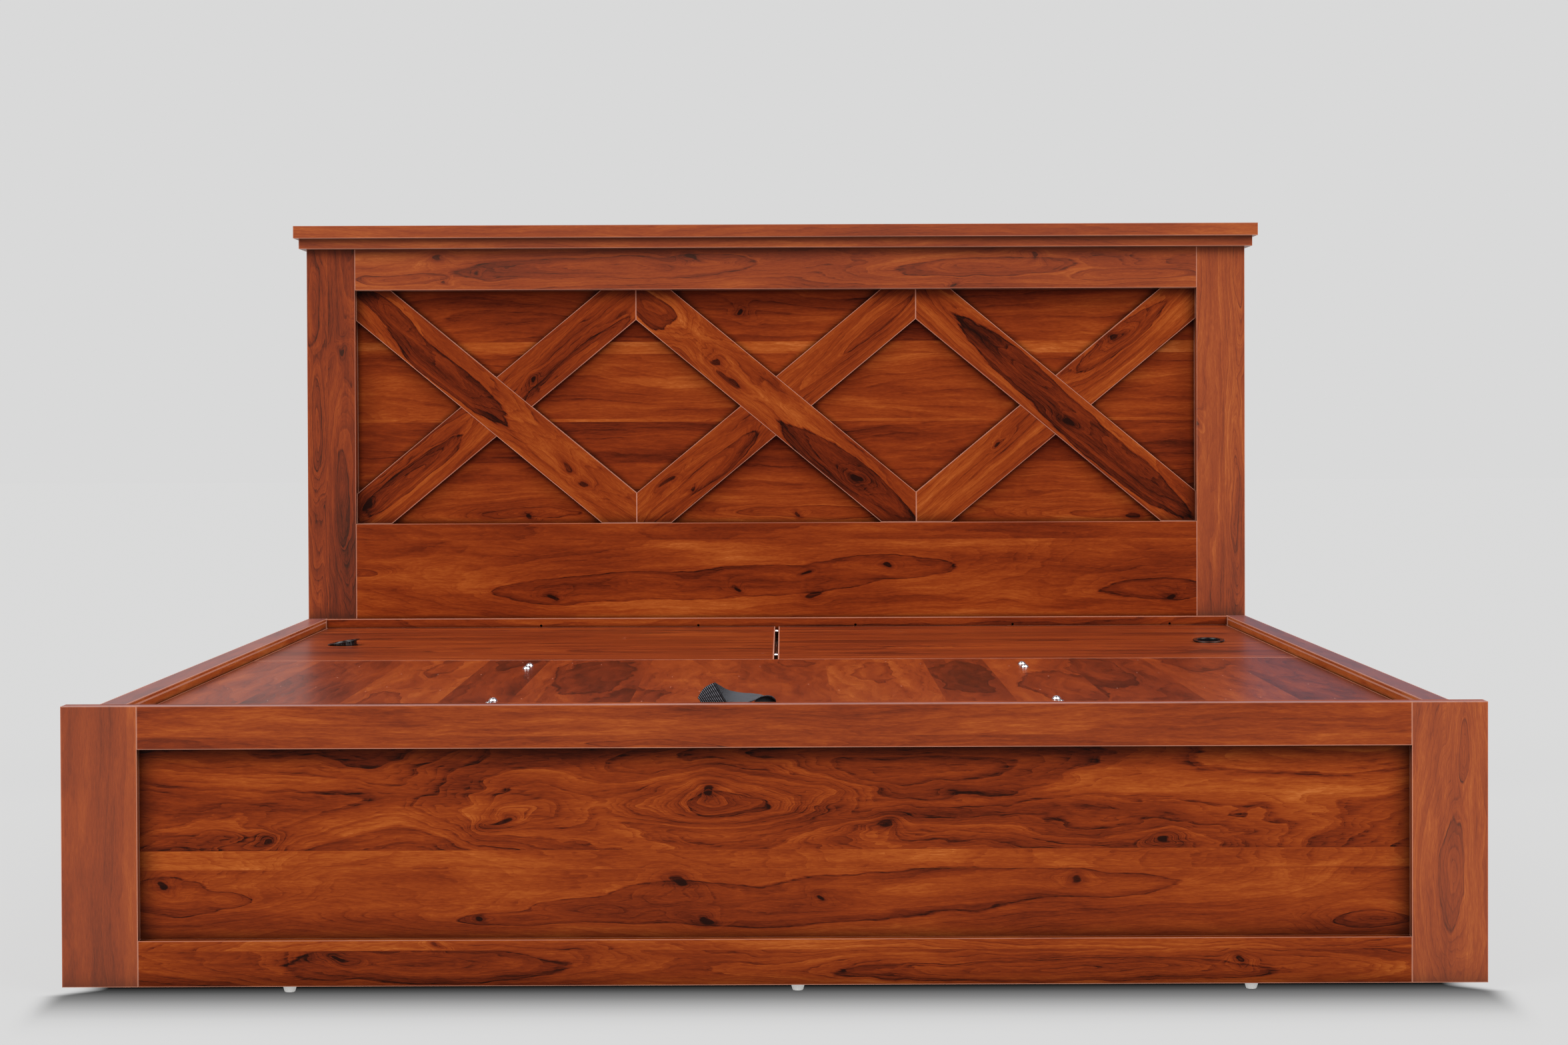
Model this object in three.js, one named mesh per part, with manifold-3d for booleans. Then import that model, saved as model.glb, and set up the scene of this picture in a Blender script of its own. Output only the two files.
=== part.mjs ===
// Ottoman bed: a laminated box bed with a braced headboard, a lid that lifts on two gas-strut mechanisms,
// and two lift-off panels at the head end.
// Millimetres. X is to the right seen from the foot end, Y towards the headboard, Z up, the floor at zero.
import * as THREE from "three";
import { mergeVertices } from "three/addons/utils/BufferGeometryUtils.js";
import Module from "manifold-3d";

// Whole bed
const overallLength = 2140;
const boardThickness = 18;
const glideHeight = 10;
const sideHeight = 396;
const bedBase = glideHeight;
const railTop = bedBase + sideHeight;
const platformTop = railTop - boardThickness;
const platformUnder = platformTop - boardThickness;
const floorTop = bedBase + boardThickness;

// Headboard
const headboardWidth = 1912;
const headboardDepth = 4 * boardThickness;
const stileWidth = 98;
const lowerPanelHeight = 589;
const braceZoneHeight = 477;
const topRailHeight = 84;
const mouldingHeight = 21;
const mouldingOverhang = 14;
const capHeight = 25;
const capLip = 10;
const capOverhang = mouldingOverhang + capLip;
const headboardFront = overallLength / 2 - capOverhang - headboardDepth;
const headboardBack = headboardFront + headboardDepth;
const braceZoneBottom = bedBase + lowerPanelHeight;
const braceZoneTop = braceZoneBottom + braceZoneHeight;
const headboardTop = braceZoneTop + topRailHeight;
const innerHalf = headboardWidth / 2 - stileWidth;
const braceCount = 3;
const braceCell = (2 * innerHalf) / braceCount;
const braceTopCut = 71;
const braceSideCut = 61.5;
const braceJointGap = 0.4;

// Footboard
const footboardWidth = 2008;
const footboardStileWidth = 107;
const footboardTopRailHeight = 61;
const footboardBottomRailHeight = 65;
const footboardFront = -overallLength / 2;
const footboardFrameBack = footboardFront + boardThickness;
const footboardBack = footboardFrameBack + boardThickness;

// Side rails, ledgers and partitions
const innerWidth = 1836;
const railThickness = 38;
const ledgerHeight = 40;
const railInner = innerWidth / 2;
const railOuter = railInner + railThickness;
const ledgerInner = railInner - boardThickness;
const ledgerBottom = platformUnder - ledgerHeight;
const headRailFront = headboardFront - boardThickness;
const headStepFront = headRailFront - boardThickness;
const seamY = 40;
const crossPartitionHalf = boardThickness;
const partitionInner = 457;
const partitionOuter = partitionInner + boardThickness;
const headHolePitch = 320;
const headHoleRadius = 2.5;
const headHoleRise = 3;
const headHoleShares = [-1.5, -0.5, 0.5, 1.5, 2.5];

// Glides
const glideTopRadius = 10;
const glideBottomRadius = 7.5;
const frontGlideXs = { left: -686, middle: 32, right: 673 };
const rearGlideX = headboardWidth / 2 - stileWidth / 2;

// Lift lid and rear panels
const sideGap = 3;
const seamHalfGap = 1;
const lidFrontGap = 8;
const centreGap = 7;
const rearPanelEndGap = 2;
const panelHalf = railInner - sideGap;
const lidFront = footboardBack + lidFrontGap;
const lidBack = seamY - seamHalfGap;
const rearPanelFront = seamY + seamHalfGap;
const rearPanelBack = headRailFront - rearPanelEndGap;
const ringX = 812;
const ringOffset = -49.5;
const ringY = (rearPanelFront + rearPanelBack) / 2 + ringOffset;
const ringHoleRadius = 27;

// Finger rings
const ringFlangeRadius = 30;
const ringFlangeThickness = 2;
const ringBarrelRadius = 24;
const ringBoreRadius = 21;
const ringBarrelDepth = 13;
const leftRingTiltDegrees = 9.5;
const rightRingTiltDegrees = 5;

// Lid bolts and gap screws
const boltX = 420;
const boltSpacing = 64;
const rearBoltInset = 205;
const frontBoltInset = 166;
const rearBoltY = seamY - rearBoltInset;
const frontBoltY = lidFront + frontBoltInset;
const boltHeadRadius = 7;
const boltHeadRim = 1.2;
const boltHeadHeight = 5.2;
const boltSocketRadius = 2.6;
const boltSocketDepth = 2.8;
const boltShankRadius = 4;
const boltHoleRadius = 4.5;
const nutStripHalf = 9;
const nutStripThickness = 6;
const nutStripEnd = 14;
const boltTail = 4;
const nearScrewInset = 116;
const farScrewInset = 134;
const gapScrewYs = { near: rearPanelFront + nearScrewInset, far: rearPanelBack - farScrewInset };
const screwHeadRadius = 4.8;
const screwHeadHeight = 3.6;
const screwHeadRim = 0.8;
const screwSocketRadius = 1.8;
const screwSocketDepth = 1.6;
const screwNotchRadius = 5.4;
const screwHeadSink = 1.2;
const screwShankRadius = 2;
const screwPilotRadius = 2.2;
const screwPilotDepth = 20;

// Lift mechanism: pivots in the YZ plane, measured from the seam and the platform's top
const rearPivotBase = [-233, -90];
const rearPivotLid = [-43, -34];
const frontPivotBase = [-700, -175];
const frontPivotLid = [-150, -60];
const strutPivotBase = [-302, -320];
const strutPivotLink = [-277, -61];
const basePlateThickness = 5;
const linkThickness = 5;
const linkHalf = 12;
const bracketThickness = 4;
const flangeThickness = 3;
const layerGap = 1;
const baseLayer = partitionInner - basePlateThickness;
const rearLinkOuter = baseLayer - layerGap / 2;
const rearLinkInner = rearLinkOuter - linkThickness;
const bracketOuter = rearLinkInner - layerGap;
const bracketInner = bracketOuter - bracketThickness;
const frontLinkOuter = bracketInner - layerGap;
const frontLinkInner = frontLinkOuter - linkThickness;
const flangeInner = 406;
const bracketFrontReach = 20;
const bracketBackInset = 22;
const bracketFront = frontBoltY - bracketFrontReach;
const bracketBack = lidBack - bracketBackInset;
const bracketDrop = 27;
const bracketTabHalf = 16;
const bracketTabReach = 15;
const pinRadius = 5;
const pinHoleRadius = 5.2;
const pinHeadRadius = 9;
const pinHeadThickness = 2.5;
const pinHeadGap = 0.4;
const baseBarHalf = 20;
const baseLegHalf = 16;

// Gas struts
const strutX = 424;
const cylinderRadius = 10;
const cylinderBoreRadius = 5.4;
const cylinderStart = 14;
const cylinderBoreStart = 22;
const cylinderLength = 190;
const rodRadius = 5;
const rodStart = 26;
const eyeHalf = 5;
const eyeRadius = 9.5;
const eyeNeck = 2;
const strutPinRadius = 4;
const cylinderEyeHoleRadius = 4.2;
const rodEyeHoleRadius = 5.8;
const strutPinEnd = 3;

// Pull strap: shares of the strap's reach, from the middle of the lid's front top edge
const strapReach = 100;
const strapThickness = 1.8;
const strapStations = 60;
const strapNearEdgeShares = [
  [-0.83, 0.41, -0.192], [-0.83, 0.11, -0.192], [-0.835, 0.01, -0.198], [-0.84, -0.036, -0.165],
  [-0.87, -0.043, -0.09], [-0.943, -0.043, 0.0], [-1.01, -0.046, 0.12], [-1.065, -0.05, 0.211],
  [-1.072, -0.052, 0.222], [-1.078, -0.046, 0.228], [-1.08, -0.026, 0.23], [-1.07, -0.006, 0.222],
  [-0.98, 0.005, 0.17], [-0.8, 0.03, 0.13], [-0.62, 0.03, 0.12], [-0.45, 0.0, 0.145],
  [-0.27, -0.035, 0.206], [-0.18, -0.04, 0.252], [-0.107, -0.04, 0.267], [-0.03, -0.04, 0.253],
  [0.016, -0.042, 0.212], [-0.01, -0.048, 0.15], [-0.12, -0.05, 0.08], [-0.27, -0.045, 0.0],
  [-0.28, -0.043, -0.1], [-0.28, -0.036, -0.165], [-0.28, 0.01, -0.198], [-0.28, 0.11, -0.192],
  [-0.28, 0.41, -0.192],
];
const strapFarEdgeShares = [
  [-0.47, 0.41, -0.192], [-0.47, 0.11, -0.192], [-0.475, 0.01, -0.198], [-0.48, -0.036, -0.165],
  [-0.51, -0.043, -0.09], [-0.571, -0.043, 0.0], [-0.635, -0.046, 0.12], [-0.694, -0.05, 0.209],
  [-0.77, -0.05, 0.34], [-0.825, -0.044, 0.438], [-0.832, -0.02, 0.45], [-0.82, 0.0, 0.44],
  [-0.77, 0.04, 0.408], [-0.678, 0.15, 0.344], [-0.584, 0.25, 0.302], [-0.442, 0.3, 0.274],
  [-0.3, 0.33, 0.266], [-0.176, 0.33, 0.256], [-0.061, 0.32, 0.246], [-0.005, 0.3, 0.225],
  [0.03, 0.26, 0.175], [0.06, 0.14, 0.12], [0.075, 0.02, 0.06], [0.08, -0.04, -0.01],
  [0.08, -0.043, -0.1], [0.08, -0.036, -0.165], [0.08, 0.01, -0.198], [0.08, 0.11, -0.192],
  [0.08, 0.41, -0.192],
];

// Mesh fineness
const roundSegments = 32;
const cornerSegments = 12;
const weldTolerance = 0.001;
const degree = Math.PI / 180;

// Colours and finishes
const laminate = { color: 0x8f4424, roughness: 0.35, metalness: 0 };
const darkLaminate = { color: 0x6e2c18, roughness: 0.35, metalness: 0 };
const panelLaminate = { color: 0x9a5228, roughness: 0.35, metalness: 0 };
const zincSteel = { color: 0x9aa0a6, roughness: 0.35, metalness: 0.9 };
const chrome = { color: 0xe6e6e8, roughness: 0.08, metalness: 1 };
const blackPaint = { color: 0x1b1b1d, roughness: 0.4, metalness: 0.3 };
const blackPlastic = { color: 0x141416, roughness: 0.3, metalness: 0 };
const whitePlastic = { color: 0xe4e2dc, roughness: 0.5, metalness: 0 };
const webbing = { color: 0x2b2c30, roughness: 0.8, metalness: 0 };

const group = new THREE.Group();
group.name = "ottoman_bed";
const wasm = await Module();
wasm.setup();

// Adds a named mesh with its own material
function add(name, geometry, finish) {
  const mesh = new THREE.Mesh(geometry, new THREE.MeshStandardMaterial(finish));
  mesh.name = name;
  group.add(mesh);
  return mesh;
}

// A box between two corners
function box(x0, x1, y0, y1, z0, z1) {
  const geometry = new THREE.BoxGeometry(x1 - x0, y1 - y0, z1 - z0);
  return geometry.translate((x0 + x1) / 2, (y0 + y1) / 2, (z0 + z1) / 2);
}

// A box whose X limits are mirrored for the left side
function sideBox(side, x0, x1, y0, y1, z0, z1) {
  return box(Math.min(side * x0, side * x1), Math.max(side * x0, side * x1), y0, y1, z0, z1);
}

function outline(points) {
  return new THREE.Shape(points.map(([x, y]) => new THREE.Vector2(x, y)));
}

function circle(x, y, radius) {
  return Array.from({ length: roundSegments }, (_, step) => {
    const angle = (2 * Math.PI * step) / roundSegments;
    return new THREE.Vector2(x + radius * Math.cos(angle), y + radius * Math.sin(angle));
  });
}

function roundHole(shape, x, y, radius) {
  shape.holes.push(new THREE.Path(circle(x, y, radius)));
}

function extrude(shape, depth) {
  return new THREE.ExtrudeGeometry(shape, { depth, bevelEnabled: false });
}

// Plates drawn in one plane and given a thickness along the third axis
function plateXY(shape, z0, z1) {
  return extrude(shape, z1 - z0).translate(0, 0, z0);
}

function plateXZ(shape, y0, y1) {
  const geometry = extrude(shape, y1 - y0);
  const turned = new THREE.Matrix4().makeBasis(
    new THREE.Vector3(1, 0, 0),
    new THREE.Vector3(0, 0, 1),
    new THREE.Vector3(0, -1, 0),
  );
  return geometry.applyMatrix4(turned).translate(0, y1, 0);
}

function plateYZ(shape, x0, x1) {
  const low = Math.min(x0, x1);
  const geometry = extrude(shape, Math.abs(x1 - x0));
  const turned = new THREE.Matrix4().makeBasis(
    new THREE.Vector3(0, 1, 0),
    new THREE.Vector3(0, 0, 1),
    new THREE.Vector3(1, 0, 0),
  );
  return geometry.applyMatrix4(turned).translate(low, 0, 0);
}

// A solid of revolution about Z from radius and height pairs
function turned(profile, segments = roundSegments) {
  const points = profile.map(([r, z]) => new THREE.Vector2(r, z));
  return new THREE.LatheGeometry(points, segments).rotateX(Math.PI / 2);
}

// A round bar along X, Y or Z
function barX(x0, x1, y, z, radius) {
  const low = Math.min(x0, x1);
  const high = Math.max(x0, x1);
  const profile = [[0, low], [radius, low], [radius, high], [0, high]];
  return turned(profile).rotateY(Math.PI / 2).translate(0, y, z);
}

function barY(y0, y1, x, z, radius) {
  const length = y1 - y0;
  const profile = [[0, 0], [radius, 0], [radius, length], [0, length]];
  return turned(profile).rotateX(-Math.PI / 2).translate(x, y0, z);
}

function barZ(z0, z1, x, y, radius) {
  const profile = [[0, z0], [radius, z0], [radius, z1], [0, z1]];
  return turned(profile).translate(x, y, 0);
}

// Solid modelling on three.js geometries
function solidOf(geometry) {
  const loose = geometry.index ? geometry.toNonIndexed() : geometry.clone();
  loose.deleteAttribute("normal");
  loose.deleteAttribute("uv");
  const welded = mergeVertices(loose, weldTolerance);
  const mesh = new wasm.Mesh({
    numProp: 3,
    vertProperties: welded.attributes.position.array,
    triVerts: new Uint32Array(welded.index.array),
  });
  return new wasm.Manifold(mesh);
}

function geometryOf(solid) {
  const mesh = solid.getMesh();
  const geometry = new THREE.BufferGeometry();
  geometry.setAttribute("position", new THREE.BufferAttribute(new Float32Array(mesh.vertProperties), 3));
  geometry.setIndex(new THREE.BufferAttribute(new Uint32Array(mesh.triVerts), 1));
  return geometry;
}

function joined(geometries) {
  const solids = geometries.map(solidOf);
  return geometryOf(solids.reduce((whole, piece) => whole.add(piece)));
}

function cut(geometry, tools) {
  return geometryOf(tools.map(solidOf).reduce((whole, tool) => whole.subtract(tool), solidOf(geometry)));
}

// Where the lines through a, b and through c, d cross
function crossing(a, b, c, d) {
  const [ux, uz] = [b[0] - a[0], b[1] - a[1]];
  const [vx, vz] = [d[0] - c[0], d[1] - c[1]];
  const along = ((c[0] - a[0]) * vz - (c[1] - a[1]) * vx) / (ux * vz - uz * vx);
  return [a[0] + along * ux, a[1] + along * uz];
}

// Headboard frame, panels and top
function addHeadboard() {
  for (const [name, side] of [["left", -1], ["right", 1]]) {
    const outer = headboardWidth / 2;
    const stile = sideBox(side, innerHalf, outer, headboardFront, headboardBack, bedBase, headboardTop);
    add(`headboard_stile_${name}`, stile, laminate);
  }
  const panelFront = headboardFront + 2 * boardThickness;
  const panelBack = panelFront + boardThickness;
  const topRail = box(-innerHalf, innerHalf, headboardFront, headboardBack, braceZoneTop, headboardTop);
  add("headboard_top_rail", topRail, laminate);
  const lowerPanel = box(-innerHalf, innerHalf, headboardFront, panelFront, bedBase, braceZoneBottom);
  add("headboard_lower_panel", lowerPanel, panelLaminate);
  const backPanel = box(-innerHalf, innerHalf, panelFront, panelBack, bedBase, braceZoneTop);
  add("headboard_back_panel", backPanel, darkLaminate);
  const mouldingTop = headboardTop + mouldingHeight;
  addOverhang("headboard_moulding", mouldingOverhang, headboardTop, mouldingTop);
  addOverhang("headboard_cap", capOverhang, mouldingTop, mouldingTop + capHeight);
}

function addOverhang(name, overhang, z0, z1) {
  const half = headboardWidth / 2 + overhang;
  add(name, box(-half, half, headboardFront - overhang, headboardBack + overhang, z0, z1), laminate);
}

// Each cell has one long brace and a second one cut in two halves against it
function addBraces() {
  const w = braceCell;
  const h = braceZoneHeight;
  const a = braceTopCut;
  const b = braceSideCut;
  const long = [[0, h], [0, h - b], [w - a, 0], [w, 0], [w, b], [a, h]];
  const joint = [[a + braceJointGap, h], [w + braceJointGap, b]];
  const inner = crossing([w - a, h], [0, b], ...joint);
  const outer = crossing([w, h - b], [a, 0], ...joint);
  const upper = [[w - a, h], inner, outer, [w, h - b], [w, h]];
  const lower = upper.map(([x, z]) => [w - x, h - z]);
  const y0 = headboardFront + boardThickness;
  const y1 = y0 + boardThickness;
  ["left", "middle", "right"].forEach((name, index) => {
    const x0 = -innerHalf + index * braceCell;
    const place = (points) => outline(points.map(([x, z]) => [x0 + x, braceZoneBottom + z]));
    add(`cross_brace_long_${name}`, plateXZ(place(long), y0, y1), laminate);
    add(`cross_brace_upper_${name}`, plateXZ(place(upper), y0, y1), laminate);
    add(`cross_brace_lower_${name}`, plateXZ(place(lower), y0, y1), laminate);
  });
}

// Footboard: a full panel with a frame on its front
function addFootboard() {
  const half = footboardWidth / 2;
  const inner = half - footboardStileWidth;
  for (const [name, side] of [["left", -1], ["right", 1]]) {
    const stile = sideBox(side, inner, half, footboardFront, footboardFrameBack, bedBase, railTop);
    add(`footboard_stile_${name}`, stile, laminate);
  }
  const topRailBottom = railTop - footboardTopRailHeight;
  const bottomRailTop = bedBase + footboardBottomRailHeight;
  const topRail = box(-inner, inner, footboardFront, footboardFrameBack, topRailBottom, railTop);
  add("footboard_top_rail", topRail, laminate);
  const bottomRail = box(-inner, inner, footboardFront, footboardFrameBack, bedBase, bottomRailTop);
  add("footboard_bottom_rail", bottomRail, laminate);
  const panel = box(-half, half, footboardFrameBack, footboardBack, bedBase, railTop);
  add("footboard_panel", panel, panelLaminate);
}

// Side rails with the ledgers that carry the platform
function addSides() {
  for (const [name, side] of [["left", -1], ["right", 1]]) {
    const rail = sideBox(side, railInner, railOuter, footboardBack, headboardFront, bedBase, railTop);
    add(`side_rail_${name}`, rail, laminate);
    const ledger = sideBox(
      side, ledgerInner, railInner, footboardBack, headStepFront, ledgerBottom, platformUnder,
    );
    add(`side_ledger_${name}`, ledger, darkLaminate);
  }
}

// Storage box: floor, head end, and the partitions under the platform
function addStorageBox() {
  const floor = box(-railInner, railInner, footboardBack, headboardFront, bedBase, floorTop);
  add("floor_panel", floor, darkLaminate);
  add("head_cross_rail", headCrossRail(), laminate);
  const width = ledgerInner;
  const full = railInner;
  const crossShape = outline([
    [-full, floorTop], [full, floorTop], [full, ledgerBottom], [width, ledgerBottom],
    [width, platformUnder], [-width, platformUnder], [-width, ledgerBottom], [-full, ledgerBottom],
  ]);
  const crossFront = seamY - crossPartitionHalf;
  const crossBack = seamY + crossPartitionHalf;
  add("cross_partition", plateXZ(crossShape, crossFront, crossBack), darkLaminate);
  for (const [name, side] of [["left", -1], ["right", 1]]) {
    const y0 = footboardBack;
    const partition = sideBox(side, partitionInner, partitionOuter, y0, crossFront, floorTop, platformUnder);
    add(`partition_${name}`, partition, darkLaminate);
  }
  const half = boardThickness / 2;
  const rear = box(-half, half, crossBack, headStepFront, floorTop, platformUnder);
  const pilots = Object.values(gapScrewYs).map((y) =>
    barZ(platformUnder - screwPilotDepth, platformUnder + screwPilotDepth, 0, y, screwPilotRadius),
  );
  add("rear_partition", cut(rear, pilots), darkLaminate);
}

// The head end board has a step for the rear panels and a row of holes above it
function headCrossRail() {
  const profile = outline([
    [headStepFront, floorTop], [headboardFront, floorTop], [headboardFront, railTop],
    [headRailFront, railTop], [headRailFront, platformUnder], [headStepFront, platformUnder],
  ]);
  const rail = plateYZ(profile, -railInner, railInner);
  const z = platformTop + headHoleRise;
  const holes = headHoleShares.map((share) =>
    barY(headStepFront, headboardBack, share * headHolePitch, z, headHoleRadius),
  );
  return cut(rail, holes);
}

// Glides under the footboard and the headboard's stiles
function addGlides() {
  const frontY = footboardFrameBack;
  for (const [name, x] of Object.entries(frontGlideXs)) addGlide(`glide_front_${name}`, x, frontY);
  const rearY = (headboardFront + headboardBack) / 2;
  addGlide("glide_rear_left", -rearGlideX, rearY);
  addGlide("glide_rear_right", rearGlideX, rearY);
}

function addGlide(name, x, y) {
  const profile = [[0, 0], [glideBottomRadius, 0], [glideTopRadius, glideHeight], [0, glideHeight]];
  add(name, turned(profile).translate(x, y, 0), whitePlastic);
}

// Lift lid with clearance holes for its bolts
function addLid() {
  const front = [[-panelHalf, lidFront], [panelHalf, lidFront]];
  const back = [[panelHalf, lidBack], [-panelHalf, lidBack]];
  const shape = outline([...front, ...back]);
  for (const side of [-1, 1])
    for (const y of boltYs()) roundHole(shape, side * boltX, y, boltHoleRadius);
  add("lift_lid", plateXY(shape, platformUnder, platformTop), panelLaminate);
}

function boltYs() {
  return [frontBoltY, frontBoltY + boltSpacing, rearBoltY, rearBoltY + boltSpacing];
}

// Rear panels with a ring hole each and half notches round the gap screws
function addRearPanels() {
  for (const [name, side] of [["left", -1], ["right", 1]]) {
    const shape = rearPanelShape(side);
    roundHole(shape, side * ringX, ringY, ringHoleRadius);
    add(`rear_panel_${name}`, plateXY(shape, platformUnder, platformTop), panelLaminate);
  }
}

function rearPanelShape(side) {
  const inner = centreGap / 2;
  const outer = side * panelHalf;
  const points = [[outer, rearPanelFront], [outer, rearPanelBack], [side * inner, rearPanelBack]];
  for (const y of [gapScrewYs.far, gapScrewYs.near]) {
    const open = Math.acos(inner / screwNotchRadius);
    for (let step = 0; step <= cornerSegments; step++) {
      const angle = open - (2 * open * step) / cornerSegments;
      points.push([side * screwNotchRadius * Math.cos(angle), y + screwNotchRadius * Math.sin(angle)]);
    }
  }
  points.push([side * inner, rearPanelFront]);
  return outline(side > 0 ? points : points.reverse());
}

// Finger rings: loose plastic grommets, each tipped out of its hole
function ringGeometry() {
  return turned([
    [ringBoreRadius, -ringBarrelDepth], [ringBarrelRadius, -ringBarrelDepth], [ringBarrelRadius, 0],
    [ringFlangeRadius, 0], [ringFlangeRadius, ringFlangeThickness / 2],
    [ringFlangeRadius - ringFlangeThickness, ringFlangeThickness], [ringBoreRadius, ringFlangeThickness],
    [ringBoreRadius, -ringBarrelDepth],
  ]);
}

function addRings() {
  const left = ringGeometry().translate(ringFlangeRadius, 0, 0).rotateY(-leftRingTiltDegrees * degree);
  left.translate(-ringX - ringFlangeRadius, ringY, platformTop);
  add("finger_ring_left", left, blackPlastic);
  const right = ringGeometry().translate(0, ringFlangeRadius, 0).rotateX(rightRingTiltDegrees * degree);
  right.translate(ringX, ringY - ringFlangeRadius, platformTop);
  add("finger_ring_right", right, blackPlastic);
}

// Domed bolt through the lid and its bracket, with its head on the lid
function boltProfile() {
  const bottom = -boardThickness - flangeThickness - nutStripThickness - boltTail;
  return [
    [0, bottom], [boltShankRadius, bottom], [boltShankRadius, 0],
    [boltHeadRadius, 0], [boltHeadRadius, boltHeadRim],
    ...dome(boltHeadRadius, boltHeadRim, boltSocketRadius, boltHeadHeight),
    [boltSocketRadius, boltHeadHeight - boltSocketDepth], [0, boltHeadHeight - boltSocketDepth],
  ];
}

// Points of a rounded head from its rim to the edge of its socket
function dome(radius, rim, socketRadius, height) {
  const points = [];
  for (let step = 1; step <= cornerSegments / 2; step++) {
    const share = step / (cornerSegments / 2);
    const r = radius + (socketRadius - radius) * share;
    points.push([r, rim + (height - rim) * Math.sin((share * Math.PI) / 2)]);
  }
  return points;
}

function addBolts() {
  for (const [name, side] of [["left", -1], ["right", 1]]) {
    addBoltPair(`lid_bolts_front_${name}`, side * boltX, frontBoltY);
    addBoltPair(`lid_bolts_rear_${name}`, side * boltX, rearBoltY);
  }
}

function addBoltPair(name, x, y) {
  const top = platformUnder - flangeThickness;
  const strip = box(
    x - nutStripHalf, x + nutStripHalf,
    y - nutStripEnd, y + boltSpacing + nutStripEnd,
    top - nutStripThickness, top,
  );
  const bolts = [y, y + boltSpacing].map((each) => turned(boltProfile()).translate(x, each, platformTop));
  add(name, joined([strip, ...bolts]), chrome);
}

// Screws that stand in the gap between the rear panels
function addGapScrews() {
  for (const [name, y] of Object.entries(gapScrewYs)) {
    const head = platformTop - screwHeadSink;
    const bottom = platformUnder - screwPilotDepth;
    const profile = [
      [0, bottom], [screwShankRadius, bottom], [screwShankRadius, head], [screwHeadRadius, head],
      [screwHeadRadius, head + screwHeadRim],
      ...dome(screwHeadRadius, head + screwHeadRim, screwSocketRadius, head + screwHeadHeight),
      [screwSocketRadius, head + screwHeadHeight - screwSocketDepth],
      [0, head + screwHeadHeight - screwSocketDepth],
    ];
    add(`gap_screw_${name}`, turned(profile).translate(0, y, 0), chrome);
  }
}

// A place in the lift's own coordinates as bed Y and Z
function liftPoint([y, z]) {
  return [seamY + y, platformTop + z];
}

// A flat bar with round ends along a straight or bent line
function barOutline(points, half) {
  const path = points.map(([y, z]) => new THREE.Vector2(y, z));
  const normals = path.slice(1).map((point, i) => {
    const along = point.clone().sub(path[i]).normalize();
    return new THREE.Vector2(-along.y, along.x);
  });
  const offset = (sign) =>
    path.map((point, i) => {
      const before = normals[Math.max(i - 1, 0)];
      const after = normals[Math.min(i, normals.length - 1)];
      const mitre = before.clone().add(after).normalize();
      return point.clone().addScaledVector(mitre, (sign * half) / mitre.dot(after));
    });
  const roundEnd = (centre, from) => {
    const arc = [];
    for (let step = 1; step < cornerSegments; step++) {
      const angle = from.angle() - (step / cornerSegments) * Math.PI;
      arc.push(new THREE.Vector2(Math.cos(angle), Math.sin(angle)).multiplyScalar(half).add(centre));
    }
    return arc;
  };
  const last = path.length - 1;
  return new THREE.Shape([
    ...offset(1),
    ...roundEnd(path[last], normals[last - 1]),
    ...offset(-1).reverse(),
    ...roundEnd(path[0], normals[0].clone().negate()),
  ]);
}

// Lift mechanism, one set on each partition
function addMechanism() {
  for (const [name, side] of [["left", -1], ["right", 1]]) {
    add(`lift_base_bracket_${name}`, baseBracket(side), zincSteel);
    add(`lift_lid_bracket_${name}`, lidBracket(side), zincSteel);
    add(`lift_rear_link_${name}`, rearLink(side), zincSteel);
    add(`lift_front_link_${name}`, frontLink(side), zincSteel);
    add(`gas_cylinder_${name}`, gasCylinder(side), blackPaint);
    add(`gas_rod_${name}`, gasRod(side), chrome);
  }
}

function pin(side, x0, x1, point, radius) {
  const [y, z] = liftPoint(point);
  return barX(side * x0, side * x1, y, z, radius);
}

// The fixed plate on the partition, with its pins
function baseBracket(side) {
  const bar = barOutline([liftPoint(frontPivotBase), liftPoint(rearPivotBase)], baseBarHalf);
  const legTop = [(rearPivotBase[0] + strutPivotBase[0]) / 2, rearPivotBase[1]];
  const leg = barOutline([liftPoint(strutPivotBase), liftPoint(legTop)], baseLegHalf);
  const rearHead = rearLinkInner - pinHeadGap;
  const frontHead = frontLinkInner - pinHeadGap;
  return joined([
    plateYZ(bar, side * baseLayer, side * partitionInner),
    plateYZ(leg, side * baseLayer, side * partitionInner),
    pin(side, baseLayer, rearHead, rearPivotBase, pinRadius),
    pin(side, rearHead, rearHead - pinHeadThickness, rearPivotBase, pinHeadRadius),
    pin(side, baseLayer, frontHead, frontPivotBase, pinRadius),
    pin(side, frontHead, frontHead - pinHeadThickness, frontPivotBase, pinHeadRadius),
    pin(side, baseLayer, strutX - eyeHalf - strutPinEnd, strutPivotBase, strutPinRadius),
  ]);
}

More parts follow.
